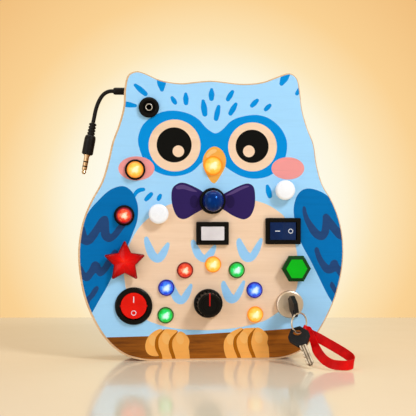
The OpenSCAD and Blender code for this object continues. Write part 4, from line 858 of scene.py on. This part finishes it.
BARE_RIM = 1.0  # wood left bare along the panel's edge
PRINT_OFF = (0.35, 0.2)  # how far the print sits off the panel's middle
SKIN_NEAR, SKIN_FAR = 0.02, 0.09  # the skin's two faces, out from the panel


def cut_tiles(loops):
    """Triangles over the plane that keep every loop's edges: their corner points, and three indices each."""
    corners, lines = [], []
    for loop in loops:
        first = len(corners)
        corners += [Vector(p) for p in loop]
        lines += [(first + i, first + (i + 1) % len(loop)) for i in range(len(loop))]
    fill_hull, same_within = 0, 1e-4
    flat, _, tiles, *_ = delaunay_2d_cdt(corners, lines, [], fill_hull, same_within)
    return flat, [t for t in tiles if len(t) == 3]


def make_print():
    """One thin closed skin over the front face, cut into inked areas; it has the panel's own holes."""
    panel_edge, *holes = front_loops()
    outline = [(x + PRINT_OFF[0], z + PRINT_OFF[1]) for x, z in inset(panel_edge, BARE_RIM)]
    flat, tiles = cut_tiles([outline, *holes, *(loop for loop, _ in LAYERS)])
    middles = np.array([(p.x, p.y) for p in flat])[np.array(tiles)].mean(axis=1)
    kept = inside(middles, outline)
    for hole in holes:
        kept &= ~inside(middles, hole)
    finishes = ["print_blue"]
    choice = np.zeros(len(tiles), int)
    for loop, ink_name in LAYERS:
        if ink_name not in finishes:
            finishes.append(ink_name)
        choice[inside(middles, loop)] = finishes.index(ink_name)

    n = len(flat)
    verts = [(p.x, FACE_Y - h, p.y) for h in (SKIN_FAR, SKIN_NEAR) for p in flat]
    faces, index, rim = [], [], {}
    for (a, b, c), keep, chosen in zip(tiles, kept, choice):
        if not keep:
            continue
        faces += [(a, b, c), (c + n, b + n, a + n)]
        index += [int(chosen)] * 2
        for p, q in ((a, b), (b, c), (c, a)):
            if (q, p) in rim:
                del rim[(q, p)]
            else:
                rim[(p, q)] = int(chosen)
    for (p, q), chosen in rim.items():
        faces.append((q, p, p + n, q + n))
        index.append(chosen)

    used = sorted({i for face in faces for i in face})
    renamed = {old: new for new, old in enumerate(used)}
    faces = [tuple(renamed[i] for i in face) for face in faces]
    piece("print_skin", [verts[i] for i in used], faces, finishes, "board", False, index, "plywood")


make_print()


# ---- Marks on the rockers ----

ROCK = math.radians(joints["round_rocker_tilt"]["range_deg"][1] / 2)  # each way from level
ROCKER_HALF = 8.9  # from a rocker's middle to its end
VALLEY_H, EDGE_H = 2.5, 4.0  # a level rocker's height above the face, at its middle and at its ends
MARK_LOW, MARK_EDGE, MARK_HIGH = -0.03, 0.05, 0.07  # a mark's heights above the rocker


def on_rocker(at, side_on, half_sign):
    """Maps a mark's points (across, along the slope from the middle, up) onto a half of a resting rocker."""
    slope = math.atan2(EDGE_H - VALLEY_H, ROCKER_HALF)
    face = on_face(at)

    def place(p):
        across, along, up = p
        run = half_sign * (along * math.cos(slope) - up * math.sin(slope))
        rise = VALLEY_H + along * math.sin(slope) + up * math.cos(slope) - PIVOT_H
        rock = ROCK if side_on else -ROCK
        c, s = math.cos(rock), math.sin(rock)
        run, rise = run * c - rise * s, run * s + rise * c
        return face((run, across, rise + PIVOT_H) if side_on else (across, run, rise + PIVOT_H))

    return place


def ring_mark(name, rocker, half_sign, along, r, w):
    """The off mark, a raised ring."""
    at, side_on, body = rocker
    place = on_rocker(at, side_on, half_sign)
    low, high = r - w / 2, r + w / 2
    profile = [(low, MARK_LOW), (high, MARK_LOW), (high, MARK_EDGE), (r, MARK_HIGH), (low, MARK_EDGE)]
    verts, faces = lathe(profile, lambda p: place((p[0], p[1] + along, p[2])), 40)
    piece(name, verts, faces, ["white_ink"], body, slot="white_plastic")


def bar_mark(name, rocker, half_sign, along, length, w):
    """The on mark, a raised bar with round ends."""
    at, side_on, body = rocker
    place = on_rocker(at, side_on, half_sign)
    off_level = 0.01  # turns the corners a little, so that each belongs to one end
    outline = []
    for a in around(24):
        x, y = math.cos(a + off_level) * w / 2, math.sin(a + off_level) * w / 2
        outline.append((x, y + math.copysign((length - w) / 2, y)))
    rings = [
        [place((share * x, share * y + along, h)) for x, y in outline]
        for share, h in ((1, MARK_LOW), (1, MARK_EDGE), (0.92, MARK_HIGH))
    ]
    piece(name, *loft(rings, False), ["white_ink"], body, False, slot="white_plastic")


round_rocker = (ROUND_AT, False, "round_rocker_lever")
square_rocker = (SQUARE_AT, True, "square_rocker_lever")
bar_mark("round_on_mark", round_rocker, 1, along=4.3, length=4.4, w=0.7)
ring_mark("round_off_mark", round_rocker, -1, along=5, r=1.55, w=0.45)
bar_mark("square_on_mark", square_rocker, -1, along=3.8, length=3.6, w=0.6)
ring_mark("square_off_mark", square_rocker, 1, along=5.4, r=1.45, w=0.5)


# ---- Jack contact, the keyhole's painted shade and the pin's insulating rings ----

# The contact's section as (radius, height above the face): it lines the bore and is rolled over the collar
JACK_SECTION = [(1.8, 1.2), (2.5, 2.88), (2.5, 3.02), (2.3, 3.1), (2.05, 3.1), (1.85, 2.95), (1.8, 2.4)]
jack_skin = lathe(JACK_SECTION, on_face(JACK_AT))
piece("jack_contact", *jack_skin, ["machined_steel"], "board", slot="machined_steel")

KEY_REST = math.radians(8)  # how far the key stands turned at rest


def keyhole_painted_shade():
    """Painted shade for the lock plug's keyhole, above the key: a dark sheet on the plug's face, shaped as a
    round hole that runs into the blade's slot.
    """
    hole_y, hole_r, neck_w, slot_top = 3.7, 1.1, 1.3, 2.45
    from_neck = math.asin(neck_w / 2 / hole_r)
    arc = np.linspace(-math.pi / 2 + from_neck, 1.5 * math.pi - from_neck, 28)
    outline = [(hole_r * math.cos(a), hole_y + hole_r * math.sin(a)) for a in arc]
    outline += [(-neck_w / 2, slot_top), (neck_w / 2, slot_top)]
    c, s, face = math.cos(KEY_REST), math.sin(KEY_REST), on_face(LOCK_AT)
    rings = []
    for share, h in ((1, -0.03), (1, 0.03), (0.97, 0.05)):
        ring = [(share * x, hole_y + share * (y - hole_y)) for x, y in outline]
        rings.append([face((x * c - y * s, x * s + y * c, PLUG_FACE_H + h)) for x, y in ring])
    piece("lock_keyhole_painted_shade", *loft(rings, False), ["keyway_dark"], "lock_cylinder", False, slot="lock_face")


keyhole_painted_shade()

PLUG_AT = np.array(LEAD_ROUTE[-1], float)
PLUG_TILT = math.radians(10.5)
PLUG_GAP, RELIEF_LEN, PLUG_BODY_LEN = 0.25, 8.6, 14
PIN_START = PLUG_GAP + RELIEF_LEN + PLUG_BODY_LEN
plug_down = np.array((-math.sin(PLUG_TILT), 0, -math.cos(PLUG_TILT)))
plug_side = np.array((math.cos(PLUG_TILT), 0, -math.sin(PLUG_TILT)))


def on_plug(p):
    """Maps local points, with z along the pin from the plug's end, to the frame."""
    return tuple(PLUG_AT + p[0] * plug_side + p[1] * BACKWARDS + (PIN_START + p[2]) * plug_down)


INSULATOR_STARTS, INSULATOR_W = (4.6, 7.9), 0.8
HALF_INSULATOR = [(1.6, 0), (1.79, 0), (1.8, 0.05)]  # radius, and height from the ring's end
for k, low in enumerate(INSULATOR_STARTS):
    high = low + INSULATOR_W
    band = [(r, low + h) for r, h in HALF_INSULATOR] + [(r, high - h) for r, h in reversed(HALF_INSULATOR)]
    skin = lathe(band, on_plug, 32)
    piece(f"plug_insulator_{k}", *skin, ["black_plastic"], "board", slot="black_plastic")


# ---- Finishes of the CAD nodes ----

NODE_FINISHES = {
    "plywood": "front_panel back_panel",
    "frame_wood": "frame_ring",
    "zinc_steel": "case_screws board_screws cover_screw",
    "tray_plastic": "battery_tray battery_cover",
    "cell_jacket": "batteries",
    "spring_steel": "battery_contacts",
    "circuit_green": "circuit_board",
    "wire_red": "wire_loom",
    "lens_red": "belly_lens_red wing_lens",
    "lens_amber": "belly_lens_amber_top belly_lens_amber_right nose_lens cheek_lens",
    "lens_green": "belly_lens_green_right belly_lens_green_left",
    "lens_blue": "belly_lens_blue_left belly_lens_blue_right",
    "black_plastic": (
        "lamp_bezels lens_clips ball_body rect_body button_nuts round_housing square_housing knob jack_socket"
    ),
    "emitter_clear": "light_emitters",
    "navy_plastic": "ball_cap",
    "white_plastic": "left_white_cap right_white_cap white_bodies",
    "grey_cap": "rect_cap",
    "star_red_painted_light": "star_cap",
    "red_plastic": "star_body round_rocker",
    "green_plastic": "hex_cap",
    "dark_green_plastic": "hex_body",
    "rocker_blue": "square_rocker",
    "red_line": "knob_pointer",
    "tinned_brass": "switch_terminals",
    "machined_steel": "pot_shaft pot_body metal_nuts",
    "lock_face": "lock_body lock_plug",
    "key_steel": "key_blade",
    "spare_steel": "spare_blade",
    "ring_steel": "key_ring",
    "key_plastic": "key_bow spare_bow",
    "cord_rubber": "lead_cord lead_sleeve plug_body",
    "gold_plate": "plug_pin",
    "satin_ribbon": "ribbon",
}
for finish_name, names in NODE_FINISHES.items():
    for name in names.split():
        nodes[name].data.materials.clear()
        nodes[name].data.materials.append(FINISHES[finish_name])


# ---- Floor ----

def floor():
    """A pale, slightly glossy table top that ends behind the object, square to the camera."""
    half_w, front, back = 3000, -2500, 256
    made = Finish("studio_paper", sheen=0.45)
    made.paint(made.tones(made.noise(3, detail=3), (250, 226, 186), (252, 231, 194)))
    made.paint(made.span(made.noise(30), 0.09, 0.14), "Roughness")
    corners = [(-half_w, front), (half_w, front), (half_w, back), (-half_w, back)]
    mesh = bpy.data.meshes.new("studio_floor")
    mesh.from_pydata([Vector((x, y, 0)) * MM for x, y in corners], [], [(0, 1, 2, 3)])
    mesh.materials.append(made.material)
    obj = bpy.data.objects.new("studio_floor", mesh)
    obj.rotation_euler = (0, 0, CAMERA_TURN)
    scene.collection.objects.link(obj)


floor()


# ---- Backdrop ----

VIEW_AIM = (-math.sin(CAMERA_TURN), math.cos(CAMERA_TURN), 0)
ROOM_LIGHT, ROOM_STRENGTH = (0.88, 0.97, 1.18, 1), 0.38
# Screen colours over the distance from the camera's own direction
BACKDROP = [
    (0.1, (254, 252, 238)), (0.135, (254, 246, 220)), (0.165, (253, 230, 184)),
    (0.21, (250, 210, 148)), (0.29, (240, 190, 124)), (0.6, (250, 226, 184)),
]


def studio_world():
    """Even light from all round; seen directly or in a reflection, it is a pale backdrop."""
    world = bpy.data.worlds.new("studio")
    world.use_nodes = True
    scene.world = world
    made = Tree(world.node_tree)
    light = made.tree.nodes["Background"]
    light.inputs["Color"].default_value = ROOM_LIGHT
    light.inputs["Strength"].default_value = ROOM_STRENGTH
    seen = made.node("Background")
    away = made.vector("DISTANCE", made.coords.outputs["Generated"], VIEW_AIM)
    made.feed(made.ramp(away, BACKDROP), seen.inputs["Color"])
    path = made.node("LightPath").outputs
    rays = path["Is Camera Ray"]
    for other in ("Is Glossy Ray", "Is Transmission Ray"):
        rays = made.math("ADD", rays, path[other], use_clamp=True)
    choose = made.node("MixShader")
    for value, socket in zip((rays, light.outputs[0], seen.outputs[0]), choose.inputs):
        made.feed(value, socket)
    made.feed(choose.outputs[0], made.tree.nodes["World Output"].inputs["Surface"])


studio_world()


# ---- Lamps ----

LAMP_COLOUR = (0.93, 0.98, 1.06)


def softbox(name, at, towards, size, power):
    data = bpy.data.lights.new(name, "AREA")
    data.shape = "RECTANGLE"
    data.size, data.size_y = size
    data.energy = power
    data.color = LAMP_COLOUR
    obj = bpy.data.objects.new(name, data)
    obj.location = at
    obj.rotation_euler = (Vector(towards) - Vector(at)).to_track_quat("-Z", "Y").to_euler()
    scene.collection.objects.link(obj)


softbox("key_light", (0.55, -0.75, 0.85), (0, 0, 0.1), (0.26, 0.26), 7.4)
softbox("fill_light", (-0.9, -0.9, 0.28), (0, 0, 0.08), (0.8, 0.8), 3.5)
softbox("top_light", (0, 0.1, 1.2), (0, 0, 0), (0.9, 0.6), 3.4)
